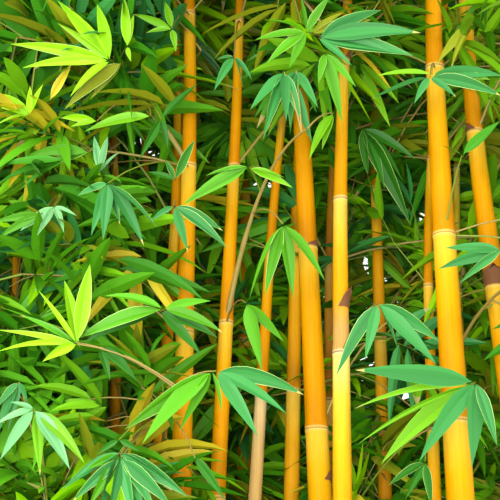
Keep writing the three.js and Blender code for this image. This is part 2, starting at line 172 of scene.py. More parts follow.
LONGEST_LEAF = 0.35
SPREAD_FIRST = 12  # degrees from the shoot's own way, and how much more with each leaf
SPREAD_STEP = 15
SPREAD_MOST = 82
SPREAD_STRAY = 9
END_LEAF_STRAY = 0.2
SPRAY_TILT = 0.35
LEAF_TILT = 0.28
LEAST_LEAVES = 3
LEAST_LEFT = 0.5  # of the leaves of a spray, or it doesn't grow
DRY_TIPS = 0.04
LOWEST_TWIGS = 0.22  # of a cane's height
HIGHEST_BRANCHES = 0.9
ROOTED_AT = 0.6  # of a cane's radius
NODE_TWIG_LENGTH = (110, 330)
NODE_TWIG_TURN = (-85, 85)
NODE_TWIG_PITCH = (0, 65)
NODE_TWIGS = (3, 4)  # from each node of a cane in the front and in the back half
NODE_BRANCHES = (1, 2)
NODE_BRANCH_LENGTH = (260, 480)
NODE_BRANCH_TURN = (-120, 120)
NODE_BRANCH_PITCH = (0, 45)
NODE_BRANCH_TWIGS = 5
NODE_BRANCH_FIRST = 0.4
NODE_BRANCH_TWIG_LENGTH = 0.8  # of a stem's twigs
NODE_BRANCH_THICK = (5.5, 3)

# The camera stands low in front and looks up into the clump.
CAMERA_AT = np.array([0.0, -2236.0, 1157.0])
LOOKS_AT = np.array([0.0, -150.0, 2000.0])
FIELD_OF_VIEW = math.radians(22)
PICTURE = 500  # pixels on each side

RIGHTWARD = np.array([1.0, 0.0, 0.0])
FORWARD = (LOOKS_AT - CAMERA_AT) / np.linalg.norm(LOOKS_AT - CAMERA_AT)
UPWARD = np.cross(RIGHTWARD, FORWARD)


def in_picture(points):
    """Where points fall in the picture, in pixels from its upper left corner."""
    away = points - CAMERA_AT
    scale = PICTURE / 2 / math.tan(FIELD_OF_VIEW / 2) / (away @ FORWARD)
    return PICTURE / 2 + away @ RIGHTWARD * scale, PICTURE / 2 - away @ UPWARD * scale


def from_picture(across, down, y):
    """The point at depth y that falls at a place in the picture."""
    slope = math.tan(FIELD_OF_VIEW / 2) / (PICTURE / 2)
    ray = FORWARD + RIGHTWARD * (across - PICTURE / 2) * slope + UPWARD * (PICTURE / 2 - down) * slope
    return CAMERA_AT + ray * (y - CAMERA_AT[1]) / ray[1]


# Sprays that hang in front of the canes: where each springs from in the picture, its depth, its
# tint, and where its leaves end. A third number makes a leaf narrower or wider.
FRONT_SPRAYS = [
    (
        (110, 61), -400, "fresh_and_sunlit",
        [(57, 0, 0.8), (57, 23, 0.6), (97, 4), (10, 44, 0.8), (22, 68, 0.7), (70, 97)],
    ),
    ((127, 47), -390, "fresh_and_sunlit", [(124, -3), (134, 14), (131, 62)]),
    ((172, 29), -370, "light", [(133, 14), (165, 2), (146, 33), (176, 52)]),
    ((122, 62), -380, "olive", [(64, 110), (90, 100)]),
    ((29, 115), -380, "fresh_and_sunlit", [(4, 94), (30, 86), (43, 84), (0, 108), (-5, 126), (-8, 139)]),
    ((50, 100), -360, "yellow", [(72, 63), (66, 76)]),
    ((97, 121), -350, "fresh_and_sunlit", [(60, 118), (70, 127)]),
    ((151, 116), -330, "light", [(84, 132), (108, 122)]),
    ((161, 119), -330, "dark", [(198, 84), (139, 160), (168, 150)]),
    ((100, 172), -310, "pale", [(94, 136), (108, 136), (120, 152)]),
    ((108, 183), -420, "blue", [(91, 236), (103, 241), (144, 246), (157, 228), (77, 196), (120, 225)]),
    ((54, 206), -400, "pale", [(37, 236), (64, 233), (77, 216), (20, 231)]),
    ((41, 214), -410, "mid", [(-2, 239), (-6, 222)]),
    ((89, 152), -350, "mid", [(26, 156), (42, 166)]),
    ((64, 160), -370, "deep", [(-5, 186), (-5, 165), (20, 190)]),
    ((174, 206), -390, "blue", [(188, 252), (223, 231), (228, 249), (150, 222)]),
    ((249, 167), -330, "mid", [(183, 205), (205, 176)]),
    ((175, 180), -340, "dark", [(195, 140), (148, 172), (165, 160)]),
    ((234, 57), -350, "blue", [(214, 91), (216, 60), (252, 80), (243, 88)]),
    ((306, 32), -420, "mid", [(255, 40), (264, 20), (289, 69), (266, 64), (300, -6), (330, -4)]),
    ((312, 34), -400, "olive", [(384, 30), (372, 20), (345, 12)]),
    ((318, 38), -410, "blue", [(393, 53), (414, 56), (421, 33), (382, 10), (352, 66)]),
    ((325, 53), -400, "mid", [(356, 87), (342, 123), (318, 84)]),
    ((333, 113), -350, "light", [(309, 160), (322, 150)]),
    ((284, 72), -400, "blue", [(250, 110), (263, 139), (301, 120), (312, 143), (286, 122)]),
    ((430, 77), -430, "blue", [(370, 100), (414, 104), (456, 97), (502, 96), (503, 76)]),
    ((432, 74), -420, "light", [(491, 80), (376, 76)]),
    ((473, 24), -330, "olive", [(451, 69), (437, 64), (462, 34)]),
    ((462, 155), -360, "deep", [(440, 145), (500, 121)]),
    ((362, 128), -90, "dark", [(403, 182), (411, 226), (416, 160), (385, 190), (368, 176)]),
    ((283, 224), -410, "mid", [(249, 300), (265, 296), (325, 281), (293, 299)]),
    ((249, 168), -390, "light", [(293, 188), (285, 178)]),
    ((502, 250), -430, "blue", [(438, 269), (459, 284), (445, 248)]),
    ((378, 303), -420, "blue", [(336, 376), (365, 360), (397, 347), (437, 365), (440, 342)]),
    ((476, 382), -455, "blue", [(355, 370), (419, 462), (472, 468, 1.25), (497, 446)]),
    ((474, 384), -410, "light", [(354, 409, 0.3), (357, 445, 0.3), (381, 464)]),
    ((212, 371), -430, "mid", [(124, 430), (142, 444), (179, 432), (222, 413)]),
    ((216, 371), -420, "blue", [(304, 395), (287, 414), (258, 437)]),
    (
        (77, 344), -420, "fresh_and_sunlit",
        [(90, 264), (64, 280), (38, 290, 0.5), (-3, 330, 0.45), (-3, 352, 0.45), (42, 362, 1.2)],
    ),
    ((75, 342), -410, "mid", [(-3, 306, 0.6), (20, 315, 0.6)]),
    ((164, 309), -410, "mid", [(77, 339), (104, 296), (211, 301), (223, 333)]),
    ((160, 311), -400, "dark", [(83, 344), (218, 338), (201, 355)]),
    ((100, 347), -390, "dark", [(137, 381), (110, 381), (132, 362)]),
    ((34, 409), -430, "pale", [(0, 460), (70, 470, 1.2), (-5, 425), (10, 402)]),
    ((36, 410), -425, "light", [(40, 476), (85, 464), (60, 455)]),
    ((19, 382), -400, "blue", [(-5, 410), (-5, 440), (28, 404), (8, 430)]),
    ((120, 452), -430, "blue", [(62, 490), (76, 478), (165, 480), (188, 497), (98, 512), (145, 515)]),
    ((195, 458), -390, "dark", [(225, 500), (215, 478)]),
    ((246, 303), -380, "mid", [(284, 342), (262, 371)]),
    ((425, 462), -300, "dark", [(405, 500), (432, 508), (388, 486)]),
    ((121, 458), -435, "blue", [(72, 502), (172, 507), (108, 524), (134, 526), (156, 514)]),
    ((120, 455), -425, "mid", [(86, 470), (156, 472), (88, 508)]),
    ((119, 440), -415, "dark", [(96, 456), (140, 452)]),
    ((296, 70), -395, "blue", [(272, 104), (290, 128), (318, 108)]),
]

# Where more sprays crowd in the picture before the canes: a box in pixels, and how many stand in it
TANGLES = [
    (0, 0, 165, 130, 26),
    (0, 130, 150, 300, 30),
    (0, 300, 140, 500, 30),
    (250, -10, 410, 70, 22),
    (440, 0, 500, 60, 4),
    (160, 440, 235, 510, 4),
]

# Where a cane shows between the leaves: a box in pixels, and the depth of the cane
CANE_WINDOWS = [
    (108, 378, 126, 436, -10),
    (108, 134, 120, 176, -10),
    (138, 150, 153, 174, 120),
    (8, 258, 24, 302, 40),
    (370, 248, 388, 296, 100),
    (374, 345, 392, 400, 100),
    (380, 468, 396, 500, 100),
    (322, 170, 333, 240, 75),
    (450, 165, 464, 235, 110),
]

# Where the sprays behind the canes stand in the sun: boxes in pixels
SUNLIT = [
    (432, 85, 478, 262),
    (472, 20, 500, 75),
    (468, 285, 490, 365),
    (470, 425, 500, 480),
    (272, 300, 294, 368),
    (350, 455, 378, 500),
]

# The canes


@dataclass
class Cane:
    """A cane: its place and lean at eye level, thickness, height, one node, and its finish."""

    name: str
    at: tuple
    lean: tuple
    thick: float
    tall: float
    node: float
    leafy: bool = False
    finish: str = "golden"
    worn: tuple = (0, 0)

    def radius(self, h):
        share = np.clip(h / self.tall, 0, 1)
        return self.thick / 2 * (1 - THIN_OUT * share**THIN_POWER)

    def middle(self, h):
        h = np.asarray(h, float)
        flare = 1 - (1 - np.clip(h / FLARE_HEIGHT, 0, 1)) ** 2
        share = FOOT_SHARE + (1 - FOOT_SHARE) * flare
        metres = flare * (np.maximum(h, FLARE_HEIGHT) - (EYE_LEVEL - SOIL_TOP)) / 1000
        bent = np.maximum(0, (h / self.tall - ARCH_FROM) / (1 - ARCH_FROM))
        arch = ARCH_REACH * self.tall * bent**2 / math.hypot(*self.at)
        x, y = (self.at[i] * (share + arch) + self.lean[i] * metres for i in (0, 1))
        return np.stack([x, y, SOIL_TOP + CLEAR + h], axis=-1)

    def internode(self, h):
        wave = math.pi * (INTERNODE_START + INTERNODE_SPAN * h / self.tall)
        return LONGEST_INTERNODE * self.tall * math.sin(wave)

    def nodes(self):
        found = [self.node]
        while (above := found[-1] + self.internode(found[-1])) < self.tall - LAST_INTERNODE:
            found.append(above)
        while (below := found[0] - self.internode(found[0])) > LOWEST_NODE:
            found.insert(0, below)
        return found


CANES = [
    Cane("right_front", (325, -250), (0, 0), 55, 3100, 1515, True),
    Cane("far_right", (420, -150), (-62, 0), 54, 2900, 1460),
    Cane("centre_right", (152, -235), (18, 0), 41, 2650, 1314, False, "waxy", (1781, 1859)),
    Cane("centre", (104, -105), (-28, 8), 48, 3430, 1219, True),
    Cane("left_front", (-108, -195), (4, 0), 42, 3000, 1362, True),
    Cane("left_second", (-140, -75), (40, 20), 31, 2750, 1330),
    Cane("centre_left", (-36, -130), (42, 0), 35, 2950, 1700),
    Cane("inner_left", (34, -42), (62, 10), 31, 2700, 1297, False, "golden", (1480, 1764)),
    Cane("inner_right", (85, 28), (30, 0), 36, 3000, 1324, False, "amber"),
    Cane("back_inner", (152, 85), (20, 0), 30, 2750, 1600, False, "brown"),
    Cane("right_inner", (250, 110), (9, 9), 34, 3080, 1450, True, "amber"),
    Cane("right_second", (330, 0), (20, 0), 31, 2600, 1250),
    Cane("right_back", (405, 120), (15, 25), 28, 2700, 1550, False, "olive"),
    Cane("left_third", (-245, -10), (-20, 0), 28, 2650, 1230, False, "amber"),
    Cane("left_inner", (-200, 130), (-25, 20), 27, 2850, 1400, False, "brown"),
    Cane("far_left", (-440, 40), (-20, 0), 26, 2550, 1500, False, "amber"),
    Cane("back", (-10, 215), (0, 30), 38, 3250, 1480, True),
    Cane("back_right", (185, 265), (20, 30), 34, 2850, 1380, False, "olive"),
    Cane("back_left", (-320, 195), (-30, 9), 36, 2950, 1440, True),
]


def cane_distance(points, canes=CANES):
    """How far each point is from the nearest of some canes, measured level."""
    nearest = np.full(len(points), np.inf)
    for cane in canes:
        h = np.clip(points[:, 2] - SOIL_TOP - CLEAR, 0, cane.tall)
        away = np.linalg.norm(points - cane.middle(h), axis=1)
        nearest = np.minimum(nearest, away - cane.radius(h) * NODE_SWELL)
    return nearest


# The crown and its branches


def crown_reach(z, bearing):
    up = np.clip((z - CROWN_LOW) / (CROWN_TOP - CROWN_LOW), 0, 1) ** CROWN_BULGE
    full = (1 - np.abs(2 * up - 1) ** CROWN_FULLNESS) ** (1 / CROWN_FULLNESS)
    return full / np.hypot(np.cos(bearing) / CROWN_HALF_WIDTH, np.sin(bearing) / CROWN_HALF_DEPTH)


def in_crown(points):
    bearing = np.arctan2(points[:, 1], points[:, 0])
    return np.hypot(points[:, 0], points[:, 1]) < crown_reach(points[:, 2], bearing)


def unit(vector):
    return vector / np.linalg.norm(vector, axis=-1, keepdims=True)


class Curve:
    """A bow from its foot past a bend to its tip."""

    def __init__(self, foot, bend, tip):
        self.corners = np.array([foot, bend, tip])

    def at(self, share):
        share = np.asarray(share, float)[..., None]
        foot, bend, tip = self.corners
        return (1 - share) ** 2 * foot + 2 * share * (1 - share) * bend + share**2 * tip

    def along(self, share):
        share = np.asarray(share, float)[..., None]
        foot, bend, tip = self.corners
        return unit((1 - share) * (bend - foot) + share * (tip - bend))


def branch_curve(foot, tip):
    bend = foot + BRANCH_BEND * (tip - foot)
    bend[2] = max(foot[2], tip[2]) + BRANCH_BOW * np.linalg.norm(tip - foot)
    return Curve(foot, bend, tip)


def steps_distance(steps, points):
    """The distance from each point to the straight steps of a branch."""
    start, step = steps[:-1], np.diff(steps, axis=0)
    along = np.einsum("pij,ij->pi", points[:, None] - start, step) / np.sum(step**2, axis=1)
    nearest = start + np.clip(along, 0, 1)[..., None] * step
    return np.linalg.norm(points[:, None] - nearest, axis=2).min(axis=1)


def branch_to(tip, masses, least):
    """The free branch that suits a tip best, from the node of a cane."""
    offers = []
    for cane in CANES:
        for h in cane.nodes():
            foot = cane.middle(h)
            span = math.hypot(tip[0] - foot[0], tip[1] - foot[1])
            miss = abs(span - BRANCH_SPAN) + abs(tip[2] - foot[2] - BRANCH_RISE * span)
            stout = min(1, STEM_TO_CANE * cane.radius(h) / STEM_THICK)
            if stout > least:
                offers.append((miss, cane, foot, stout))
    for _, cane, foot, stout in sorted(offers, key=lambda offer: offer[0]):
        curve = branch_curve(foot, tip)
        points = curve.at(np.linspace(0, 1, 4 * BRANCH_STEPS + 1))
        others = [other for other in CANES if other is not cane]
        if cane_distance(points, others).min() < STEM_THICK:
            continue
        if cane_distance(points[BRANCH_STEPS:], [cane]).min() < STEM_THICK:
            continue
        if all(steps_distance(mass["steps"], points).min() > BRANCH_APART for mass in masses):
            return {"curve": curve, "stout": stout}
    raise ValueError("no free branch")


def planned_masses():
    """Every mass with its branch: at the tips of the leafy canes, then ring by ring."""
    masses = []
    for cane in (cane for cane in CANES if cane.leafy):
        foot, end = cane.middle(cane.tall * LEAFY_FROM), cane.middle(cane.tall)
        outward = unit(np.array([*cane.at, 0.0])) * WHIP_DROOP
        curve = Curve(foot, foot + WHIP_BEND * (end - foot), end + outward + DOWN * WHIP_DROOP)
        thick = 2 * cane.radius(cane.tall * LEAFY_FROM)
        masses.append({"ring": "tip", "name": f"tip_{cane.name}", "curve": curve, "whip": True})
        masses[-1].update(stout=thick / STEM_THICK, bough=0)
    for ring, tips, count, first, boughs in RINGS:
        for i in range(count):
            bearing = math.radians(first + 360 * i / count)
            reach = crown_reach(tips, bearing) - TIP_INSIDE
            height = tips + RING_ZIGZAG * (1 if i % 2 else -1)
            tip = np.array([reach * math.cos(bearing), reach * math.sin(bearing), height])
            bough = BOUGH_SHARE if i in boughs else 0
            for mass in masses:
                mass.setdefault("steps", mass["curve"].at(np.linspace(0, 1, BRANCH_STEPS + 1)))
            branch = branch_to(tip, masses, LEAST_STOUT_BOUGH if bough else LEAST_STOUT)
            masses.append({"ring": ring, "name": f"{ring}_{i + 1}", "whip": False, "bough": bough})
            masses[-1].update(branch)
    return masses


# Finishes


def linear(code):
    """An sRGB hex colour as linear red, green, blue and 1."""
    parts = [int(code[i : i + 2], 16) / 255 for i in (1, 3, 5)]
    return [c / 12.92 if c <= 0.04045 else ((c + 0.055) / 1.055) ** 2.4 for c in parts] + [1.0]


def add_node(tree, kind, inputs=None, **settings):
    """Adds a node with its settings, and with a value or a link for each input that is given."""
    made = tree.nodes.new(kind)
    for name, value in settings.items():
        setattr(made, name, value)
    for name, value in (inputs or {}).items():
        if isinstance(value, bpy.types.NodeSocket):
            tree.links.new(value, made.inputs[name])
        else:
            made.inputs[name].default_value = value
    return made


def start_finish(name, roughness, **sockets):
    """A new material with its gloss, and its node tree and shader."""
    material = bpy.data.materials.new(name)
    material.use_nodes = True
    shader = material.node_tree.nodes["Principled BSDF"]
    shader.inputs["Roughness"].default_value = roughness
    for socket, value in sockets.items():
        shader.inputs[socket.replace("_", " ")].default_value = value
    return material, material.node_tree, shader


def plain_finish(name, colour, roughness):
    """A finish that is one colour all over."""
    material, _, shader = start_finish(name, roughness)
    shader.inputs["Base Color"].default_value = linear(colour)
    return material


# Bamboo leaf, a living blade with a thin wax: a soft broad gloss. A spray has one tint, and each
# of its leaves takes one of three tones of it by chance. A strip of a near leaf may be one tone
# off. Dry tips, and the pale margins of near leaves, have colours of their own. Some tints carry
# painted light: the yellow-green and light green tints are partly painted sunlight on sprays that
# the sun would reach, the deep tint is partly painted shade inside the crown, and the dark tint
# is painted shade on near sprays.
LEAF_TINTS = {
    "deep": ("deep green leaf", "#3F8E10", 0.5),
    "blue": ("waxy blue-green leaf", "#3E9242", 0.44),
    "mid": ("green leaf", "#58A612", 0.48),
    "fresh_and_sunlit": ("fresh yellow-green leaf", "#98DA04", 0.5),
    "light": ("light green leaf", "#78BE14", 0.48),
    "olive": ("olive leaf", "#939E16", 0.52),
    "yellow": ("yellowing leaf", "#D8C422", 0.55),
    "dry": ("dry leaf tip", "#B8AC62", 0.6),
    "pale": ("pale waxy leaf", "#7CC47C", 0.46),
    "margin": ("pale leaf margin", "#B4D878", 0.55),
    # The dark tint is painted shade on near sprays that hang in shadow.
    "dark": ("dark green old leaf", "#2F7612", 0.48),
}
TINT_NAMES = list(LEAF_TINTS)
LEAF_TONES = (1.0, 0.84, 0.7)


def leaf_finish(name, colour, roughness, tone):
    material, _, shader = start_finish(f"{name}, tone {tone:.2f}", roughness, Specular_IOR_Level=0.25)
    base = [tone * channel for channel in linear(colour)[:3]]
    shader.inputs["Base Color"].default_value = base + [1.0]
    return material


LEAF_FINISHES = [leaf_finish(*LEAF_TINTS[tint], tone) for tint in TINT_NAMES for tone in LEAF_TONES]

# Young bamboo wood: smooth and lightly waxed, tan on stems and most twigs, and green on most shoots.
TWIG_FINISHES = [
    plain_finish("tan twig", "#A08C44", 0.5),
    plain_finish("green twig", "#82962E", 0.45),
]

# The colours of a cane by its height from the nearest node in millimetres, and by its finish:
# body, light stretch, wax below the node, the ring's lip, the scar, and the deep stretch above.
CANE_COLOURS = {
    "golden": ("#E69A02", "#EAA804", "#ECBA30", "#F4D87C", "#B07412", "#D68A02"),
    "waxy": ("#EEB818", "#F2CA38", "#F4DC70", "#F8EAB0", "#7A5018", "#E6A60C"),
    "amber": ("#E09C10", "#E8AA18", "#E6B83C", "#ECD07E", "#8A5A14", "#CA850C"),
    "brown": ("#B0761C", "#BE8628", "#C49A44", "#D4B470", "#664014", "#966014"),
    "olive": ("#BCA820", "#CAB42C", "#CFC04E", "#E0D688", "#6A5E1A", "#9E901C"),
    "straw": ("#D9AE64", "#E0BA76", "#E5C688", "#EFDBAA", "#8A5E2C", "#C99A50"),
}
CANE_STOPS = (
    (-150, 0), (-75, 1), (-22, 2), (-4, 2), (-2.2, 3), (-1, 4), (0.2, 4),
    (1.8, 3), (4, 5), (34, 5), (100, 0), (150, 0),
)
SHADED_FROM, SHADED_TO = 1980, 2650  # painted shade: canes deepen towards amber as they rise into the shade of the crown
SHADED_MOST = 0.45
STRAW_AT_FOOT, STRAW_FADE, STRAW_MOST = 1.2, 700, 0.75  # canes are straw-coloured at the foot
GOLD_ABOVE_WORN = 0.7  # on a waxy cane, above its worn stretch
FIBRES_APART = 3  # coarser than real ones, so that they show
FIBRE_LENGTH = 60  # times the distance between them
STAINS = (22.0, 22.0, 7.0)  # per metre: about 45 mm across the cane and 140 mm along it


def cane_finish():
    """Bamboo culm, a hard waxed skin over fibres that run lengthwise: golden, with fine streaks."""
    material, tree, shader = start_finish("waxed golden bamboo culm", 0.42, Specular_IOR_Level=0.08)
    place = add_node(tree, "ShaderNodeTexCoord").outputs["Object"]
    fibre = 1 / (FIBRES_APART * MM)
    streaks = add_node(
        tree, "ShaderNodeMapping", {"Vector": place, "Scale": (fibre, fibre, fibre / FIBRE_LENGTH)}
    ).outputs["Vector"]
    grain = add_node(tree, "ShaderNodeTexNoise", {"Vector": streaks, "Scale": 1.0, "Detail": 3.0})
    blotch = add_node(tree, "ShaderNodeMapping", {"Vector": place, "Scale": STAINS}).outputs["Vector"]
    stain = add_node(tree, "ShaderNodeTexNoise", {"Vector": blotch, "Scale": 1.0, "Detail": 4.0})
    skin = add_node(tree, "ShaderNodeVertexColor", layer_name="culm").outputs["Color"]
    streaked = add_node(
        tree,
        "ShaderNodeMapRange",
        {"Value": grain.outputs["Fac"], "From Min": 0.35, "From Max": 0.75, "To Min": 1.04, "To Max": 0.86},
    ).outputs["Result"]
    stained = add_node(
        tree,
        "ShaderNodeMapRange",
        {"Value": stain.outputs["Fac"], "From Min": 0.5, "From Max": 0.75, "To Min": 1.0, "To Max": 0.74},
    ).outputs["Result"]
    shade = add_node(tree, "ShaderNodeMath", {0: streaked, 1: stained}, operation="MULTIPLY").outputs[0]
    colour = add_node(
        tree, "ShaderNodeVectorMath", {0: skin, "Scale": shade}, operation="SCALE"
    ).outputs[0]
    tree.links.new(colour, shader.inputs["Base Color"])
    bump = add_node(
        tree,
        "ShaderNodeBump",
        {"Height": grain.outputs["Fac"], "Strength": 0.25, "Distance": 0.4 * MM},
    )
    tree.links.new(bump.outputs["Normal"], shader.inputs["Normal"])
    return material


# Patterns of the clay and the soil, per metre, and the colours of their ramps by place
CLAY_CLOUDS = 7.0  # about 140 mm each
CLAY_GRIT = 450.0  # about 2 mm
LIME_BLOOM = 3.2  # about 310 mm
CLAY_TONES = ((0.3, "#9C4F31"), (0.7, "#C17450"))
SOIL_CRUMBS = 130.0  # about 8 mm
SOIL_TONES = ((0.35, "#231710"), (0.75, "#6A4A30"))


def terracotta_finish():
    """Fired clay, turned and unglazed: matt orange-brown, with pale lime bloom from watering."""
    material, tree, shader = start_finish("fired terracotta with lime bloom", 0.88)
    place = add_node(tree, "ShaderNodeTexCoord").outputs["Object"]
    cloud = add_node(tree, "ShaderNodeTexNoise", {"Vector": place, "Scale": CLAY_CLOUDS, "Detail": 5.0})
    grit = add_node(tree, "ShaderNodeTexNoise", {"Vector": place, "Scale": CLAY_GRIT, "Detail": 2.0})
    bloom = add_node(tree, "ShaderNodeTexNoise", {"Vector": place, "Scale": LIME_BLOOM, "Detail": 6.0})
    clay = add_node(tree, "ShaderNodeValToRGB", {"Fac": cloud.outputs["Fac"]})
    for element, (stop, code) in zip(clay.color_ramp.elements, CLAY_TONES):
        element.position = stop
        element.color = linear(code)
    lime = add_node(
        tree,
        "ShaderNodeMapRange",
        {"Value": bloom.outputs["Fac"], "From Min": 0.52, "From Max": 0.72, "To Max": 0.6},
    )
    mixed = add_node(
        tree,
        "ShaderNodeMix",
        {"Factor": lime.outputs["Result"], "A": clay.outputs["Color"], "B": linear("#DDBFA6")},
        data_type="RGBA",
    )
    tree.links.new(mixed.outputs["Result"], shader.inputs["Base Color"])
    bump = add_node(
        tree,
        "ShaderNodeBump",
        {"Height": grit.outputs["Fac"], "Strength": 0.35, "Distance": 0.6 * MM},
    )
    tree.links.new(bump.outputs["Normal"], shader.inputs["Normal"])
    return material


def soil_finish():
    """Potting soil, dark and crumbly, a little damp."""
    material, tree, shader = start_finish("crumbly potting soil", 0.95)
    place = add_node(tree, "ShaderNodeTexCoord").outputs["Object"]
    crumbs = add_node(tree, "ShaderNodeTexNoise", {"Vector": place, "Scale": SOIL_CRUMBS, "Detail": 6.0})
    colour = add_node(tree, "ShaderNodeValToRGB", {"Fac": crumbs.outputs["Fac"]})
    for element, (stop, code) in zip(colour.color_ramp.elements, SOIL_TONES):
        element.position = stop
        element.color = linear(code)
    tree.links.new(colour.outputs["Color"], shader.inputs["Base Color"])
    bump = add_node(
        tree,
        "ShaderNodeBump",
        {"Height": crumbs.outputs["Fac"], "Strength": 0.8, "Distance": 3 * MM},
    )
    tree.links.new(bump.outputs["Normal"], shader.inputs["Normal"])
    return material


# Meshes


def add_mesh(name, points, faces, finishes, replaced, chosen=None):
    """A piece from arrays of points in mm and of the corners of its faces, which rides with the plant,
    takes its finishes, and stands for some of the model's nodes."""
    mesh = bpy.data.meshes.new(name)
    corners = np.concatenate([part.ravel() for part in faces])
    sides = np.concatenate([np.full(len(part), part.shape[1]) for part in faces])
    mesh.vertices.add(len(points))
    mesh.vertices.foreach_set("co", (points * MM).astype(np.float32).ravel())
    mesh.loops.add(len(corners))
    mesh.loops.foreach_set("vertex_index", corners.astype(np.int32))
    mesh.polygons.add(len(sides))
    mesh.polygons.foreach_set("loop_start", (np.cumsum(sides) - sides).astype(np.int32))
    for finish in finishes:
        mesh.materials.append(finish)
    if chosen is not None:
        mesh.polygons.foreach_set("material_index", chosen.astype(np.int32))
    mesh.update(calc_edges=True)
    mesh.shade_smooth()
    piece = bpy.data.objects.new(name, mesh)
    bpy.context.scene.collection.objects.link(piece)
    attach(piece, "root")
    if replaced:
        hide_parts(*replaced)
    return piece


def tube_grid(count, rings, sides):
    """The quads of a number of tubes, each of some rings of points."""
    ring, side = np.meshgrid(np.arange(rings - 1), np.arange(sides), indexing="ij")
    here, beside = ring * sides + side, ring * sides + (side + 1) % sides
    quads = np.stack([here, beside, beside + sides, here + sides], axis=-1).reshape(-1, 4)
    return (quads + np.arange(count)[:, None, None] * rings * sides).reshape(-1, 4)


def tubes(lines, radii, sides):
    """Round tubes along lines, from arrays of points (tube, ring, 3) and radii (tube, ring)."""
    tangent = unit(np.gradient(lines, axis=1))
    aside = np.where(np.abs(tangent[..., 2:]) > 0.9, [1.0, 0, 0], [0, 0, 1.0])
    across = unit(np.cross(tangent, aside))
    second = np.cross(across, tangent)
    angle = np.arange(sides) * 2 * math.pi / sides
    around = (
        across[:, :, None] * np.cos(angle)[:, None] + second[:, :, None] * np.sin(angle)[:, None]
    )
    points = lines[:, :, None] + around * radii[:, :, None, None]
    return points.reshape(-1, 3), tube_grid(len(lines), lines.shape[1], sides)


def turned(profile, sides, middle=None):
    """The points and faces of a shape turned round the Z axis from (radius, height) rows, or
    bent to a line of middles."""
    profile = np.array(profile, float)
    angle = np.arange(sides) * 2 * math.pi / sides
    circle = np.stack([np.cos(angle), np.sin(angle), np.zeros(sides)], axis=-1)
    if middle is None:
        middle = np.stack([0 * profile[:, 1], 0 * profile[:, 1], profile[:, 1]], axis=-1)
    points = middle[:, None] + circle * profile[:, :1, None]
    return points.reshape(-1, 3), tube_grid(1, len(profile), sides)


# The blades of the leaves

# Rows of points across a blade, by share of its length and of its width, and their columns
LEAF_ROWS = np.array([[0.13, 0.72], [0.34, 1.0], [0.6, 0.84], [0.83, 0.46]])
FINE_ROWS = np.array(
    [
        [0.03, 0.1], [0.09, 0.46], [0.18, 0.8], [0.31, 1.0],
        [0.46, 0.94], [0.62, 0.76], [0.78, 0.48], [0.92, 0.17],
    ]
)
LEAF_COLUMNS = np.array([-1.0, 0.0, 1.0])
FINE_COLUMNS = np.array([-1.0, -0.93, -0.5, 0.0, 0.5, 0.93, 1.0])
LEAF_FOLD = 0.36  # how far the edges stand above the midrib, as a share of half the width
FOLD_POWER = 0.8


def blade_faces(rows, columns):
    """The triangles of one blade: a point at each end, and a grid of points between."""
    faces = []
    for column in range(columns - 1):
        faces.append((0, 2 + column, 1 + column))
        for row in range(rows - 1):
            here = 1 + row * columns + column
            faces.append((here, here + 1, here + columns + 1))
            faces.append((here, here + columns + 1, here + columns))
        last = 1 + (rows - 1) * columns + column
        faces.append((last, last + 1, 1 + rows * columns))
    return np.array(faces)


def blades(leaves, rows, columns):
    """The points of many leaves, each bowed down along its length and folded along its midrib."""
    root, way, face = leaves["root"], leaves["way"], leaves["face"]
    length, width, droop = leaves["length"], leaves["width"], leaves["droop"]

    def midrib(share):
        bow = way * share + DOWN * droop[:, None] * share**2 / 2
        return root + bow * length[:, None]

    rise = LEAF_FOLD * np.abs(columns) ** FOLD_POWER
    grid = [midrib(0.0)[:, None]]
    for share, wide in rows:
        tangent = unit(way + DOWN * droop[:, None] * share)
        across = unit(np.cross(tangent, face))
        normal = np.cross(across, tangent)
        half = (width * wide / 2)[:, None, None]
        line = midrib(share)[:, None] + half * columns[:, None] * across[:, None]
        grid.append(line + half * rise[:, None] * normal[:, None])
    grid.append(midrib(1.0)[:, None])
    return np.concatenate(grid, axis=1)


def add_leaves(name, leaves, replaced, rows=LEAF_ROWS, columns=LEAF_COLUMNS):
    """Many leaves as one piece, each spray in its own tint, and creased along their midribs."""
    points = blades(leaves, rows, columns)
    each = points.shape[1]
    template = blade_faces(len(rows), len(columns))
    faces = template + np.arange(len(points))[:, None, None] * each
    tones = len(LEAF_TONES)
    rng = np.random.default_rng(TONE_SEED)
    tone = np.repeat(rng.integers(0, tones, len(points))[:, None], len(template), axis=1)
    strips = len(columns) - 1
    if strips > 2:
        shift = rng.integers(-1, 2, (len(points), strips))
        tone = np.clip(tone + np.repeat(shift, len(template) // strips, axis=1), 0, tones - 1)
    chosen = leaves["tint"][:, None] * tones + tone
    dry = TINT_NAMES.index("dry") * tones
    is_tip = template.max(axis=1) == each - 1
    chosen[np.ix_(leaves["dry_tip"], is_tip)] = dry
    if strips > 2:
        margin = np.zeros(len(template), bool)
        margin[: len(template) // strips] = margin[-len(template) // strips :] = True
        edge = TINT_NAMES.index("margin") * tones
        chosen[np.ix_(leaves["pale_edge"], margin)] = edge
    piece = add_mesh(
        name,
        points.reshape(-1, 3),
        [faces.reshape(-1, 3)],
        LEAF_FINISHES,
        replaced,
        chosen.ravel(),
    )
    fold = np.zeros(each, bool)
    fold[[0, each - 1]] = True
    fold[1 + len(columns) // 2 : each - 1 : len(columns)] = True
    ends = np.zeros(len(piece.data.edges) * 2, np.int32)
    piece.data.edges.foreach_get("vertices", ends)
    sharp = fold[ends % each].reshape(-1, 2).all(axis=1)
    piece.data.attributes.new("sharp_edge", "BOOLEAN", "EDGE").data.foreach_set("value", sharp)


# How twigs and sprays of leaves grow


def between(rng, span, count=None):
    return rng.uniform(span[0], span[1], count)


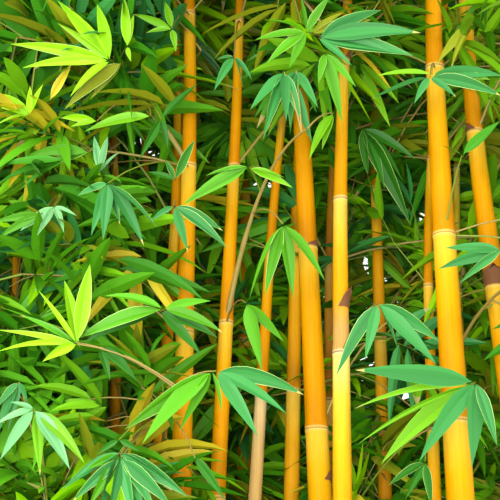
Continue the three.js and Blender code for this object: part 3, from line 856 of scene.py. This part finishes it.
def turned_aside(way, turn, pitch):
    """A direction turned level by some degrees from another, at its own pitch."""
    bearing = math.atan2(way[1], way[0]) + math.radians(turn)
    pitch = math.radians(pitch)
    return np.array(
        [math.cos(bearing) * math.cos(pitch), math.sin(bearing) * math.cos(pitch), math.sin(pitch)]
    )


BOX_LOW, BOX_HIGH = (np.array(corner) / MM for corner in cad_box)
LEAST_HEIGHT = POT_HEIGHT + 60
TEST_ROWS = np.array([[0.35, 1.0], [0.7, 0.7]])
TEST_COLUMNS = np.array([-1.0, 1.0])
MIDRIB_ROWS = np.array([(share, 1.0) for share in np.linspace(0.1, 0.9, 8)])

# How sprays leave the view between the canes open: depths, and places in the picture in pixels
VIEW_FRONT = -30
VIEW_BACK = 110
VIEW_SHARE = 0.45  # of the sprays between those depths
VIEW_MARGIN = 10
VIEW_MARGIN_IN_FRONT = 70
TANGLE_RIGHT = 150  # left of this, sprays may stand before the canes
TANGLE_FRONT = -330

# How much sun a spray has: by its way out from the middle, up, aside and to the back
SUN_OUT = 0.5
SUN_UP = 0.25
SUN_ASIDE = 0.3
SUN_BEHIND = 0.35
SUN_DEPTH = 200


def test_points(leaves):
    """Five points on each leaf: four on its edges, and its tip."""
    return blades(leaves, TEST_ROWS, TEST_COLUMNS)[:, 1:]


def free_leaves(leaves):
    """Which leaves are inside the crown, above the pot and clear of the canes."""
    points = test_points(leaves)
    flat = points.reshape(-1, 3)
    fine = in_crown(flat) & (cane_distance(flat) > LEAF_CLEAR)
    fine &= (flat > BOX_LOW).all(axis=1) & (flat < BOX_HIGH).all(axis=1)
    fine &= flat[:, 2] > LEAST_HEIGHT
    return fine.reshape(points.shape[:2]).all(axis=1)


def view_is_open(point, rng):
    """Whether a spray may stand here. Right of the tangle none stands in front of the canes
    that show, and only some stand between them."""
    across, down = in_picture(point[None])
    margin = VIEW_MARGIN_IN_FRONT if point[1] < VIEW_FRONT else VIEW_MARGIN
    if not (-margin < across[0] < PICTURE + margin and -margin < down[0] < PICTURE + margin):
        return True
    if across[0] < TANGLE_RIGHT:
        return point[1] > TANGLE_FRONT
    if point[1] < VIEW_FRONT:
        return False
    return point[1] > VIEW_BACK or rng.random() < VIEW_SHARE


def hides_cane(leaves):
    """Which leaves would cover a cane where the picture shows it between them."""
    points = blades(leaves, MIDRIB_ROWS, np.zeros(1))
    flat = points.reshape(-1, 3)
    across, down = in_picture(flat)
    hides = np.zeros(len(flat), bool)
    for left, top, right, bottom, depth in CANE_WINDOWS:
        inside = (across > left) & (across < right) & (down > top) & (down < bottom)
        hides |= inside & (flat[:, 1] < depth)
    return hides.reshape(points.shape[:2]).any(axis=1)


def is_sunlit(point):
    across, down = in_picture(point[None])
    boxes = [box for box in SUNLIT if box[0] < across[0] < box[2] and box[1] < down[0] < box[3]]
    return point[1] > 0 and bool(boxes)


def tint_for(point, rng):
    """A tint for a spray: painted shade deepens it inside the crown, painted sunlight yellows it at its
    back, sides and top.
    """
    bearing = math.atan2(point[1], point[0])
    out = math.hypot(point[0], point[1]) / max(1.0, crown_reach(point[2], bearing))
    sunny = SUN_OUT * out + SUN_UP * (point[2] / CROWN_TOP)
    sunny += SUN_ASIDE * abs(point[0]) / CROWN_HALF_WIDTH
    sunny += SUN_BEHIND * np.clip(point[1] / SUN_DEPTH, 0, 1)
    weights = {
        "deep": max(0.3, 1.4 - 1.1 * sunny),
        "blue": 0.5,
        "mid": 1.0,
        "fresh_and_sunlit": 0.15 + max(0, 0.9 * sunny - 0.2),
        "light": 0.5 + 0.5 * sunny,
        "olive": 0.5,
        "yellow": 0.08,
        "pale": 0.03,
    }
    total = sum(weights.values())
    name = rng.choice(list(weights), p=[weight / total for weight in weights.values()])
    # Painted sunlight: a spray in a sunlit box takes the light green or yellow-green tint.
    if is_sunlit(point):
        name = "light" if name == "blue" else "fresh_and_sunlit"
    return TINT_NAMES.index(name)


class Growth:
    """The leaves and twigs of one group of masses."""

    def __init__(self):
        self.leaves = []
        self.twigs = []
        self.shoots = []

    def spray(self, point, way, rng, near=False):
        """Leaves along the last of a shoot, on both sides in turn and one at its end."""
        count = rng.integers(*LEAVES)
        place = np.arange(count)
        side = np.where(place % 2, 1.0, -1.0) * (1 if rng.random() < 0.5 else -1)
        spread = np.minimum(SPREAD_FIRST + SPREAD_STEP * place, SPREAD_MOST)
        turn = np.radians(side * spread + rng.uniform(-SPREAD_STRAY, SPREAD_STRAY, count))
        turn[0] = rng.uniform(-END_LEAF_STRAY, END_LEAF_STRAY)
        way = unit(way)
        up = unit(-DOWN - way * (-DOWN @ way) + rng.normal(0, SPRAY_TILT, 3))
        up = unit(up - way * (up @ way))
        across = np.cross(way, up)
        ways = np.cos(turn)[:, None] * way + np.sin(turn)[:, None] * across
        ways = unit(ways + up * between(rng, LEAF_LIFT, count)[:, None])
        face = unit(up + rng.normal(0, LEAF_TILT, (count, 3)))
        fade = 1 - LEAF_FADE * np.abs(place - count * LONGEST_LEAF) / count
        length = between(rng, LEAF_LENGTH) * fade * between(rng, LEAF_UNEVEN, count)
        leaves = {
            "root": point - way * (place * LEAF_GAP)[:, None],
            "way": ways,
            "face": face,
            "length": length,
            "width": length * between(rng, LEAF_SLIM, count),
            "droop": between(rng, LEAF_DROOP, count),
        }
        fine = free_leaves(leaves) & ~hides_cane(leaves)
        enough = fine.sum() >= max(LEAST_LEAVES, LEAST_LEFT * count)
        if not enough or not (near or view_is_open(point, rng)):
            return False
        chosen = {key: value[fine] for key, value in leaves.items()}
        chosen["tint"] = np.full(fine.sum(), tint_for(point, rng))
        chosen["dry_tip"] = rng.random(fine.sum()) < DRY_TIPS
        self.leaves.append(chosen)
        return True

    def twig(self, root, way, length, rng, thick=TWIG_THICK):
        """A twig that bows over, with a spray at its tip and on short shoots to its sides."""
        bow = between(rng, TWIG_BOW)

        def at(share):
            return root + length * (way * share + DOWN * bow * share**2 / 2)

        def along(share):
            return unit(way + DOWN * bow * share)

        furthest = 0.0
        for i, share in enumerate(np.linspace(SHOOTS_FROM, SHOOTS_TO, rng.integers(*SHOOTS))):
            turn = between(rng, SHOOT_TURN) * (1 if i % 2 else -1)
            line = along(share)
            pitch = math.degrees(math.asin(line[2])) + between(rng, SHOOT_PITCH)
            heading = turned_aside(line, turn, pitch)
            end = at(share) + heading * between(rng, SHOOT_LENGTH)
            if self.spray(end, heading, rng):
                self.shoots.append([at(share), (at(share) + end) / 2 + [0, 0, SHOOT_LIFT], end])
                furthest = share
        if self.spray(at(1.0), along(1.0), rng):
            furthest = 1.0
        if furthest:
            shares = np.linspace(0, furthest, TWIG_POINTS)
            self.twigs.append((np.array([at(share) for share in shares]), thick, thick * TWIG_TAPER))
        return furthest > 0

    def mass(self, mass, rng):
        """Twigs on both sides of the stem in turn, or all round the whip at a cane's tip, and a
        few more at its end."""
        curve = mass["curve"]
        first = mass["bough"] + FIRST_TWIG_PAST if mass["bough"] or mass["whip"] else FIRST_TWIG
        for i, share in enumerate(np.linspace(first, LAST_TWIG, TWIGS_ON_STEM)):
            turn = TWIG_ROUND * i if mass["whip"] else between(rng, TWIG_TURN) * (1 if i % 2 else -1)
            way = turned_aside(curve.along(share), turn, between(rng, TWIG_PITCH))
            length = between(rng, TWIG_LENGTH) * (1 - TWIG_SHORTER * share)
            for _ in range(TWIG_TRIES):
                if self.twig(curve.at(share), way, length, rng):
                    break
                turn = rng.uniform(-RETRY_TURN, RETRY_TURN)
                way = turned_aside(way, turn, between(rng, TWIG_PITCH))
                length *= RETRY_LENGTH
        for _ in range(TIP_TWIGS):
            turn = between(rng, TIP_TWIG_TURN)
            way = turned_aside(curve.along(1.0), turn, between(rng, TIP_TWIG_PITCH))
            self.twig(curve.at(TIP_TWIGS_AT), way, between(rng, TIP_TWIG_LENGTH), rng)

    def node_twigs(self, cane, count, rng):
        """Thin twigs at a cane's own nodes, to one side and the other in turn."""
        top = cane.tall * (LEAFY_FROM if cane.leafy else 1)
        for i, h in enumerate(cane.nodes()):
            if not LOWEST_TWIGS * cane.tall < h < top:
                continue
            for _ in range(count):
                level = np.array([cane.at[1], -cane.at[0], 0.0])
                turn = 180 * (i % 2) + between(rng, NODE_TWIG_TURN)
                way = turned_aside(level, turn, between(rng, NODE_TWIG_PITCH))
                foot = cane.middle(h) + way * cane.radius(h) * ROOTED_AT
                self.twig(foot, way, between(rng, NODE_TWIG_LENGTH), rng, TWIG_THIN)

    def node_branches(self, cane, count, rng):
        """Longer side branches at a cane's nodes, which carry twigs of their own."""
        for h in cane.nodes():
            if not LOWEST_TWIGS * cane.tall < h < HIGHEST_BRANCHES * cane.tall:
                continue
            for _ in range(count):
                outward = np.array([*cane.at, 0.0])
                turn = between(rng, NODE_BRANCH_TURN)
                way = turned_aside(outward, turn, between(rng, NODE_BRANCH_PITCH))
                foot = cane.middle(h) + way * cane.radius(h) * ROOTED_AT
                curve = branch_curve(foot, foot + way * between(rng, NODE_BRANCH_LENGTH))
                grown = 0.0
                shares = np.linspace(NODE_BRANCH_FIRST, LAST_TWIG, NODE_BRANCH_TWIGS)
                for i, share in enumerate(shares):
                    turn = between(rng, TWIG_TURN) * (1 if i % 2 else -1)
                    aside = turned_aside(curve.along(share), turn, between(rng, TWIG_PITCH))
                    length = between(rng, TWIG_LENGTH) * NODE_BRANCH_TWIG_LENGTH
                    if self.twig(curve.at(share), aside, length, rng):
                        grown = share
                if grown:
                    line = curve.at(np.linspace(0, grown, TWIG_POINTS))
                    self.twigs.append((line, *NODE_BRANCH_THICK))

    def all_leaves(self):
        return {key: np.concatenate([part[key] for part in self.leaves]) for key in self.leaves[0]}


STEM_SIDES, TWIG_SIDES, SHOOT_SIDES = 8, 5, 3


def add_twigs(name, growth, stems, replaced):
    """Stems, twigs and shoots as one piece. One twig in three is green, and four shoots in five."""
    points, faces, chosen, offset = [], [], [], 0

    def take(part, finish):
        nonlocal offset
        points.append(part[0])
        faces.append(part[1] + offset)
        chosen.append(finish)
        offset += len(part[0])

    for line, radii in stems:
        part = tubes(line[None], radii[None], STEM_SIDES)
        take(part, np.zeros(len(part[1]), int))
    if growth.twigs:
        lines = np.stack([line for line, _, _ in growth.twigs])
        radii = np.stack([np.linspace(a, b, lines.shape[1]) / 2 for _, a, b in growth.twigs])
        part = tubes(lines, radii, TWIG_SIDES)
        take(part, np.repeat(np.arange(len(lines)) % 3 % 2, len(part[1]) // len(lines)))
    if growth.shoots:
        lines = np.array(growth.shoots)
        radii = np.tile(SHOOT_RADII, (len(lines), 1))
        part = tubes(lines, radii, SHOOT_SIDES)
        take(part, np.repeat(np.where(np.arange(len(lines)) % 5, 1, 0), len(part[1]) // len(lines)))
    add_mesh(
        name,
        np.concatenate(points),
        [np.concatenate(faces)],
        TWIG_FINISHES,
        replaced,
        np.concatenate(chosen),
    )


LIMB_POINTS = 40
LIMB_NODES_APART = 110
LIMB_NODE_EDGE = 0.985  # of a wave's height, above which a point is on a node
LIMB_NODE_SWELL = 1.2


def limb(curve, start, end, thick, thin):
    """A branch's line and radii, swollen a little at each of its nodes."""
    share = np.linspace(start, end, LIMB_POINTS)
    length = np.linalg.norm(np.diff(curve.at(share), axis=0), axis=1).sum()
    nodes = np.abs(np.sin(share * length / LIMB_NODES_APART * math.pi)) > LIMB_NODE_EDGE
    swell = np.where(nodes, LIMB_NODE_SWELL, 1.0)
    return curve.at(share), np.linspace(thick, thin, LIMB_POINTS) / 2 * swell


# The plant, its pot and its soil

# The sheath remnants that show: the cane, the height, the way it faces, half its angle
# round the cane in degrees, and how far it stands up.
SHEATHS = [
    ("centre_right", 1860, -35, 75, 34),
    ("far_right", 1930, -100, 120, 34),
    ("centre", 1600, -20, 50, 22),
]
SHEATH_SHARE = 0.3  # of the other nodes
SHEATH_APART = 100
SHEATH_HALF_ANGLE = (30, 75)
SHEATH_TALL = (9, 22)
SHEATH_RAGGED = (0.85, 1.1)
SHEATH_OPEN = 0.22  # how far its edge leans out, as a share of its height
SHEATH_POINTED = 0.8  # below 1 its sides are bowed out, and above 1 in
SHEATH_AROUND = 1.03  # of the cane's radius, to stand on its ring
SHEATH_OFF = 0.8
SHEATH_ROWS, SHEATH_COLUMNS = 7, 9

# Widths of a cane by height from a node, and the plain rings between its nodes
NODE_RELIEF = (
    (-40, 1.0), (-16, 1.0), (-8, 1.01), (-3.5, 1.03), (-2, 1.055), (-0.5, 1.06), (0.8, 1.03),
    (2.5, 1.035), (5, 1.05), (9, 1.03), (16, 0.99), (40, 0.985),
)
FULL_RELIEF = 110  # the internode from which a node has its whole relief
CANE_SUNK = 12
TIP_PLAIN = 20
PLAIN_FROM, PLAIN_APART, PLAIN_CLEAR, PLAIN_WAIST = 60, 42, 50, 0.99
STOUT_FROM, STOUT_SIDES, SLIM_SIDES = 40, 24, 16
TIP_RISE, LEAFY_TIP_RISE = 1, 0.5
CANE_FINISH = cane_finish()


def add_cane(cane):
    """A cane with a lip, a scar and a ridge at each node, in the colours of its age, with painted shade of
    the crown high up.
    """
    top = cane.tall * LEAFY_FROM if cane.leafy else cane.tall
    nodes = [h for h in cane.nodes() if h < top - TIP_PLAIN]
    rows = [(-CANE_SUNK, FOOT_SWELL), (0, FOOT_SWELL), (FOOT_SWELL_HEIGHT, 1.0)]
    for h in nodes:
        gap = min(1.0, cane.internode(h) / FULL_RELIEF)
        rows += [(h + offset * gap, relief) for offset, relief in NODE_RELIEF]
    plain = np.arange(PLAIN_FROM, top, PLAIN_APART)
    away = np.abs(plain[:, None] - np.array(nodes)).min(axis=1)
    rows += [(h, PLAIN_WAIST) for h in plain[away > PLAIN_CLEAR]] + [(top, 1.0)]
    rows = np.array(sorted(row for row in rows if row[0] <= top))
    height, relief = rows[:, 0], rows[:, 1]
    radius = cane.radius(height) * relief
    middle = cane.middle(height)
    sides = STOUT_SIDES if cane.thick > STOUT_FROM else SLIM_SIDES
    points, quads = turned(np.stack([radius, height], axis=-1), sides, middle)
    tip_rise = LEAFY_TIP_RISE if cane.leafy else TIP_RISE
    points = np.concatenate([points, middle[-1:] + [0, 0, tip_rise]])
    last = (len(height) - 1) * sides
    side = np.arange(sides)
    cap = np.stack([last + side, last + (side + 1) % sides, np.full(sides, len(points) - 1)], axis=-1)
    piece = add_mesh(
        f"culm_{cane.name}", points, [quads, cap], [CANE_FINISH], [f"cane_{cane.name}"]
    )
    nearest = np.array(nodes)[np.abs(height[:, None] - np.array(nodes)).argmin(axis=1)]
    stops = np.array([stop for stop, _ in CANE_STOPS])

    def skin(finish):
        palette = np.array([linear(code) for code in CANE_COLOURS[finish]])
        wanted = palette[[colour for _, colour in CANE_STOPS]]
        return np.stack([np.interp(height - nearest, stops, wanted[:, i]) for i in range(4)], axis=-1)

    z = height + SOIL_TOP
    old = np.clip(STRAW_AT_FOOT - height / STRAW_FADE, 0, STRAW_MOST)[:, None]
    worn = ((z > cane.worn[0]) & (z < cane.worn[1]))[:, None]
    colour = skin(cane.finish) * (1 - old) + skin("straw") * old
    # Painted shade of the crown: the cane deepens towards amber as it rises.
    crown_shade_painted = SHADED_MOST * np.clip((z - SHADED_FROM) / (SHADED_TO - SHADED_FROM), 0, 1)[:, None]
    colour = colour * (1 - crown_shade_painted) + skin("amber") * crown_shade_painted
    if cane.finish == "waxy":
        bare = GOLD_ABOVE_WORN * (z > cane.worn[1])[:, None]
        colour = colour * (1 - bare) + skin("golden") * bare
    colour = np.where(worn, skin("straw"), colour)
    colour = np.concatenate([np.repeat(colour, sides, axis=0), colour[-1:]])
    layer = piece.data.color_attributes.new("culm", "FLOAT_COLOR", "POINT")
    layer.data.foreach_set("color", colour.astype(np.float32).ravel())


def add_sheaths():
    """Dry remnants of the sheaths that once wrapped the canes, on the rings of some nodes."""
    rng = np.random.default_rng(SHEATH_SEED)
    points, faces, offset = [], [], 0
    across, up = np.meshgrid(np.linspace(-1, 1, SHEATH_COLUMNS), np.linspace(0, 1, SHEATH_ROWS))
    grid = np.arange(up.size).reshape(up.shape)
    quads = np.stack([grid[:-1, :-1], grid[:-1, 1:], grid[1:, 1:], grid[1:, :-1]], axis=-1)
    sheaths = []
    for cane in CANES:
        shown = [row for row in SHEATHS if row[0] == cane.name]
        sheaths += [(cane, row[1] - SOIL_TOP, *row[2:]) for row in shown]
        for h in cane.nodes():
            apart = all(abs(row[1] - SOIL_TOP - h) > SHEATH_APART for row in shown)
            if rng.random() < SHEATH_SHARE and apart:
                facing = rng.uniform(0, 360)
                sheath = (cane, h, facing, between(rng, SHEATH_HALF_ANGLE), between(rng, SHEATH_TALL))
                sheaths.append(sheath)
    for cane, h, facing, half_angle, tall in sheaths:
        angle = np.radians(facing + half_angle * across * (1 - up) ** SHEATH_POINTED)
        ragged = between(rng, SHEATH_RAGGED, up.shape)
        radius = cane.radius(h) * SHEATH_AROUND + SHEATH_OFF + tall * SHEATH_OPEN * up**2 * ragged
        level = h + 1 + tall * up * ragged
        ring = np.stack([radius * np.cos(angle), radius * np.sin(angle), 0 * radius], axis=-1)
        points.append((cane.middle(level) + ring).reshape(-1, 3))
        faces.append(quads.reshape(-1, 4) + offset)
        offset += up.size
    finish = plain_finish("papery dry bamboo sheath", "#744824", 0.8)
    add_mesh("sheaths", np.concatenate(points), [np.concatenate(faces)], [finish], [])


def wall_radius(z):
    return POT_FOOT_RADIUS + (POT_RIM_RADIUS - RIM_STEP + RIM_ROUND - POT_FOOT_RADIUS) * z / POT_HEIGHT


POT_SIDES = 128
ON_AXIS = 0.5  # the radius at which a turned shape closes
ROUND_TURNS = np.radians(np.linspace(15, 90, 6))
THROWN_RINGS = 90
THROWN_DEPTH = 0.5
THROWN_WAVES = (0.41, 0.083)  # two that beat, so that the lines come and go
RIM_LEAN = ((-6, 2), (-1.5, 8), (0, 18))  # out from the rim's radius, and up from its foot
RIM_TOP_STRAIGHT = 16
INNER_RINGS = (SOIL_TOP + 25, SOIL_TOP - 10, SOIL_TOP - 40, POT_FLOOR + 4)


def round_edge(turns):
    """Distances of a rounded edge from the two sides of its corner, at some turns: the first
    grows with the turn, and the second fades."""
    return [(RIM_ROUND * (1 - math.cos(turn)), RIM_ROUND * (1 - math.sin(turn))) for turn in turns]


def add_pot():
    """The turned pot, with fine throwing lines, and rounded edges."""
    rim_foot = POT_HEIGHT - RIM_HEIGHT
    profile = [(ON_AXIS, 0), (POT_FOOT_RADIUS - RIM_ROUND, 0)]
    profile += [(wall_radius(0) - faded, grown) for grown, faded in round_edge(ROUND_TURNS)]
    for z in np.linspace(16, rim_foot - 6, THROWN_RINGS):
        fine, broad = (math.sin(z * wave) for wave in THROWN_WAVES)
        profile.append((wall_radius(z) + THROWN_DEPTH * fine * broad, z))
    profile.append((wall_radius(rim_foot), rim_foot))
    profile += [(POT_RIM_RADIUS + out, rim_foot + up) for out, up in RIM_LEAN]
    profile.append((POT_RIM_RADIUS, POT_HEIGHT - RIM_TOP_STRAIGHT))
    for grown, faded in round_edge(ROUND_TURNS):
        profile.append((POT_RIM_RADIUS - grown, POT_HEIGHT - faded))
    inner = wall_radius(POT_HEIGHT) - POT_WALL
    for grown, faded in round_edge(ROUND_TURNS[::-1]):
        profile.append((inner + grown, POT_HEIGHT - faded))
    for z in INNER_RINGS:
        profile.append((wall_radius(z) - POT_WALL, z))
    profile += [(wall_radius(POT_FLOOR) - POT_WALL - 6, POT_FLOOR), (ON_AXIS, POT_FLOOR)]
    points, quads = turned(profile, POT_SIDES)
    add_mesh("clay_pot", points, [quads], [terracotta_finish()], ["pot"])


RIPPLES = (160, 95, 55, 33, 21, 15)  # from crest to crest
RIPPLES_EACH = 3
RIPPLE_LENGTH = 400  # of one that would be 1 high
WHOLE_WAVE = 6.28


def ripple(x, y, rng):
    """Uneven ground from a few waves in all directions, mostly from -1 to 1."""
    height = np.zeros_like(x)
    for scale in RIPPLES:
        for _ in range(RIPPLES_EACH):
            turn, shift = rng.uniform(0, 2 * math.pi, 2)
            along = x * math.cos(turn) + y * math.sin(turn)
            height += scale / RIPPLE_LENGTH * np.sin(along * WHOLE_WAVE / scale + shift)
    return height


SOIL_SIDES, SOIL_RINGS = 140, 70
SOIL_GAP = 0.6
SOIL_ROLL = 3.2
CRUMB = 0.8


def add_soil():
    """The soil: an uneven top with crumbs on it, and its sides and underside in the pot."""
    rng = np.random.default_rng(SOIL_SEED)
    edge = wall_radius(SOIL_TOP) - POT_WALL - SOIL_GAP
    low = wall_radius(POT_FLOOR) - POT_WALL - SOIL_GAP
    profile = [(ON_AXIS, POT_FLOOR + CLEAR), (low, POT_FLOOR + CLEAR), (edge, SOIL_TOP - 6)]
    profile += [(radius, SOIL_TOP) for radius in np.linspace(edge - 1, 1, SOIL_RINGS)]
    points, quads = turned(profile, SOIL_SIDES)
    top = points[:, 2] > SOIL_TOP - 1
    rise = SOIL_ROLL * ripple(points[:, 0], points[:, 1], rng) + rng.uniform(-CRUMB, CRUMB, len(points))
    points[top, 2] += rise[top] + 1
    add_mesh("potting_soil", points, [quads], [soil_finish()], ["soil"])


STALK_SHARES = np.linspace(0.3, 1, 15)  # of a branch, where a stalk may spring from it
STALK_TESTED = np.linspace(0.3, 1, 20)  # of a stalk, where it has to pass the canes
STALK_BOW = 0.15
STALK_LEAST = 60
STALK_CLEAR = 3


def stalk_to(point, masses):
    """A twig that reaches a point from the nearest branch or node of a cane, past the canes."""
    feet = [foot for mass in masses for foot in mass["curve"].at(STALK_SHARES)]
    feet += [cane.middle(h) for cane in CANES for h in cane.nodes()]

    def seen_length(foot):
        away = foot - point
        return np.linalg.norm(away) + 2 * np.linalg.norm(away - FORWARD * (away @ FORWARD))

    for foot in sorted(feet, key=seen_length):
        reach = np.linalg.norm(foot - point)
        curve = Curve(foot, (foot + point) / 2 - DOWN * STALK_BOW * reach, point)
        if reach > STALK_LEAST and cane_distance(curve.at(STALK_TESTED)).min() > STALK_CLEAR:
            return curve
    raise ValueError("no free stalk")


FRONT_DEPTH = 20  # how far a leaf's end may stand before or behind its spray
FRONT_ROOT = 0.03
FRONT_DROOP = (0.15, 0.6)
FRONT_RAISED = 0.35
FRONT_TILT = 0.42
FRONT_SLIM = (0.145, 0.175)
FRONT_WIDER = 3
FRONT_DRY_TIPS = 0.16
FRONT_PALE_EDGES = 0.4
TANGLE_DEPTH = (-300, -170)
TANGLE_CLEAR = 20
TANGLE_BACK = (-0.3, 0.6)  # how far its sprays point to the back, and how far up with its spread
TANGLE_UP, TANGLE_UP_SPREAD = -0.4, 0.5


def add_front_sprays(masses, nodes):
    """The sprays that the picture shows in front and the tangles beside them, on twigs of their
    own."""
    rng = np.random.default_rng(FRONT_SEED)
    growth = Growth()

    def add_stalk(point):
        line = stalk_to(point, masses).at(np.linspace(0, 1, TWIG_POINTS))
        growth.twigs.append((line, TWIG_THIN, TWIG_THICK * TWIG_TAPER))

    for place, depth, tint, ends in FRONT_SPRAYS:
        point = from_picture(*place, depth)
        count = len(ends)
        depths = [depth + rng.uniform(-FRONT_DEPTH, FRONT_DEPTH) for _ in ends]
        tips = np.array([from_picture(*end[:2], y) for end, y in zip(ends, depths)])
        wide = np.array([end[2] if len(end) > 2 else 1.0 for end in ends])
        root = point + (tips - point) * FRONT_ROOT
        length = np.linalg.norm(tips - root, axis=1)
        droop = between(rng, FRONT_DROOP, count)
        facing = -FORWARD + FRONT_RAISED * UPWARD + rng.normal(0, FRONT_TILT, (count, 3))
        leaves = {
            "root": root,
            "way": unit(tips - root) - DOWN * droop[:, None] / 2,
            "face": unit(facing),
            "length": length,
            "width": (length * between(rng, FRONT_SLIM, count) + FRONT_WIDER) * wide,
            "droop": droop,
            "tint": np.full(count, TINT_NAMES.index(tint)),
            "dry_tip": rng.random(count) < FRONT_DRY_TIPS,
            "pale_edge": rng.random(count) < FRONT_PALE_EDGES,
        }
        fine = free_leaves(leaves)
        growth.leaves.append({key: value[fine] for key, value in leaves.items()})
        add_stalk(point)
    add_leaves("leaves_front", growth.all_leaves(), nodes, FINE_ROWS, FINE_COLUMNS)
    growth.leaves = []
    for left, top, right, bottom, count in TANGLES:
        for _ in range(count):
            place = rng.uniform(left, right), rng.uniform(top, bottom)
            point = from_picture(*place, between(rng, TANGLE_DEPTH))
            way = [rng.normal(0, 1), between(rng, TANGLE_BACK), rng.normal(TANGLE_UP, TANGLE_UP_SPREAD)]
            heading = unit(np.array(way))
            free = cane_distance(point[None])[0] > TANGLE_CLEAR
            if free and growth.spray(point, heading, rng, near=True):
                add_stalk(point)
    add_twigs("twigs_front", growth, [], nodes)
    add_leaves("leaves_tangle", growth.all_leaves(), nodes)


STEM_SHARE = 0.62  # of the thickness of the model's stem
BOUGH_FOOT = 0.85
STEM_TIP = 3


def add_plant():
    for cane in CANES:
        add_cane(cane)
    add_sheaths()
    masses = planned_masses()
    growths = {}
    for number, mass in enumerate(masses):
        growth = growths.setdefault(mass["ring"], Growth())
        growth.mass(mass, np.random.default_rng(MASS_SEED + number))
    boughs = []
    for ring, growth in growths.items():
        members = [mass for mass in masses if mass["ring"] == ring]
        nodes = [f"foliage_{mass['name']}" for mass in members]
        stems = []
        for mass in members:
            thick = STEM_THICK * STEM_SHARE * mass["stout"]
            if mass["bough"]:
                boughs.append(limb(mass["curve"], 0, mass["bough"], BOUGH_THICK * BOUGH_FOOT, thick))
            stems.append(limb(mass["curve"], mass["bough"], 1, thick, STEM_TIP))
        add_twigs(f"twigs_{ring}", growth, stems, nodes)
        add_leaves(f"leaves_{ring}", growth.all_leaves(), nodes)
    bough_nodes = [f"bough_{mass['name']}" for mass in masses if mass["bough"]]
    add_twigs("boughs", Growth(), boughs, bough_nodes)
    rng = np.random.default_rng(NODE_SEED)
    foliage = [f"foliage_{mass['name']}" for mass in masses]
    for depth, twigs, branches in zip(("front", "back"), NODE_TWIGS, NODE_BRANCHES):
        for side in ("left", "right"):
            inner = Growth()
            for cane in CANES:
                if (cane.at[1] > 0) == (depth == "back") and (cane.at[0] > 0) == (side == "right"):
                    inner.node_twigs(cane, twigs, rng)
                    inner.node_branches(cane, branches, rng)
            add_twigs(f"twigs_{depth}_{side}", inner, [], foliage)
            add_leaves(f"leaves_{depth}_{side}", inner.all_leaves(), foliage)
    add_front_sprays(masses, foliage)


# The studio


# The studio, in metres and watts
FLOOR_RADIUS = 60
DAYLIGHT = 1.75  # the strength of the sky
LAMPS_AIM = Vector((0, 0, 2.1))
LAMPS = (
    # name, place, size and power: a key from the upper left, a fill that reaches between the
    # canes from low in front, and a rim
    ("key_light", (-2.1, -3.9, 4.2), 2.6, 100),
    ("fill_light", (-0.6, -3.9, 1.0), 1.6, 120),
    ("rim_light", (1.5, 3.4, 4.8), 2.4, 110),
)


def add_studio():
    """A pale floor, soft daylight, three lamps and the camera."""
    floor_mesh = bpy.data.meshes.new("floor")
    turns = np.radians(np.arange(0, 360, 3))
    edge = [(FLOOR_RADIUS * math.cos(turn), FLOOR_RADIUS * math.sin(turn), 0) for turn in turns]
    floor_mesh.from_pydata(edge, [], [range(len(edge))])
    floor_mesh.materials.append(plain_finish("pale studio floor", "#C2C0BA", 0.85))
    floor = bpy.data.objects.new("floor", floor_mesh)
    bpy.context.scene.collection.objects.link(floor)

    world = bpy.data.worlds.new("soft daylight")
    world.use_nodes = True
    sky = world.node_tree.nodes["Background"]
    sky.inputs["Color"].default_value = linear("#F2F4F1")
    sky.inputs["Strength"].default_value = DAYLIGHT
    bpy.context.scene.world = world
    for name, place, size, power in LAMPS:
        lamp = bpy.data.lights.new(name, "AREA")
        lamp.size = size
        lamp.energy = power
        light = bpy.data.objects.new(name, lamp)
        light.location = place
        light.rotation_euler = (LAMPS_AIM - Vector(place)).to_track_quat("-Z", "Y").to_euler()
        bpy.context.scene.collection.objects.link(light)

    lens = bpy.data.cameras.new("camera")
    lens.angle = FIELD_OF_VIEW
    camera = bpy.data.objects.new("camera", lens)
    camera.location = Vector(CAMERA_AT) * MM
    camera.rotation_euler = Vector(FORWARD).to_track_quat("-Z", "Y").to_euler()
    bpy.context.scene.collection.objects.link(camera)
    bpy.context.scene.camera = camera
    bpy.context.scene.view_settings.view_transform = "Standard"


add_pot()
add_soil()
add_plant()
add_studio()
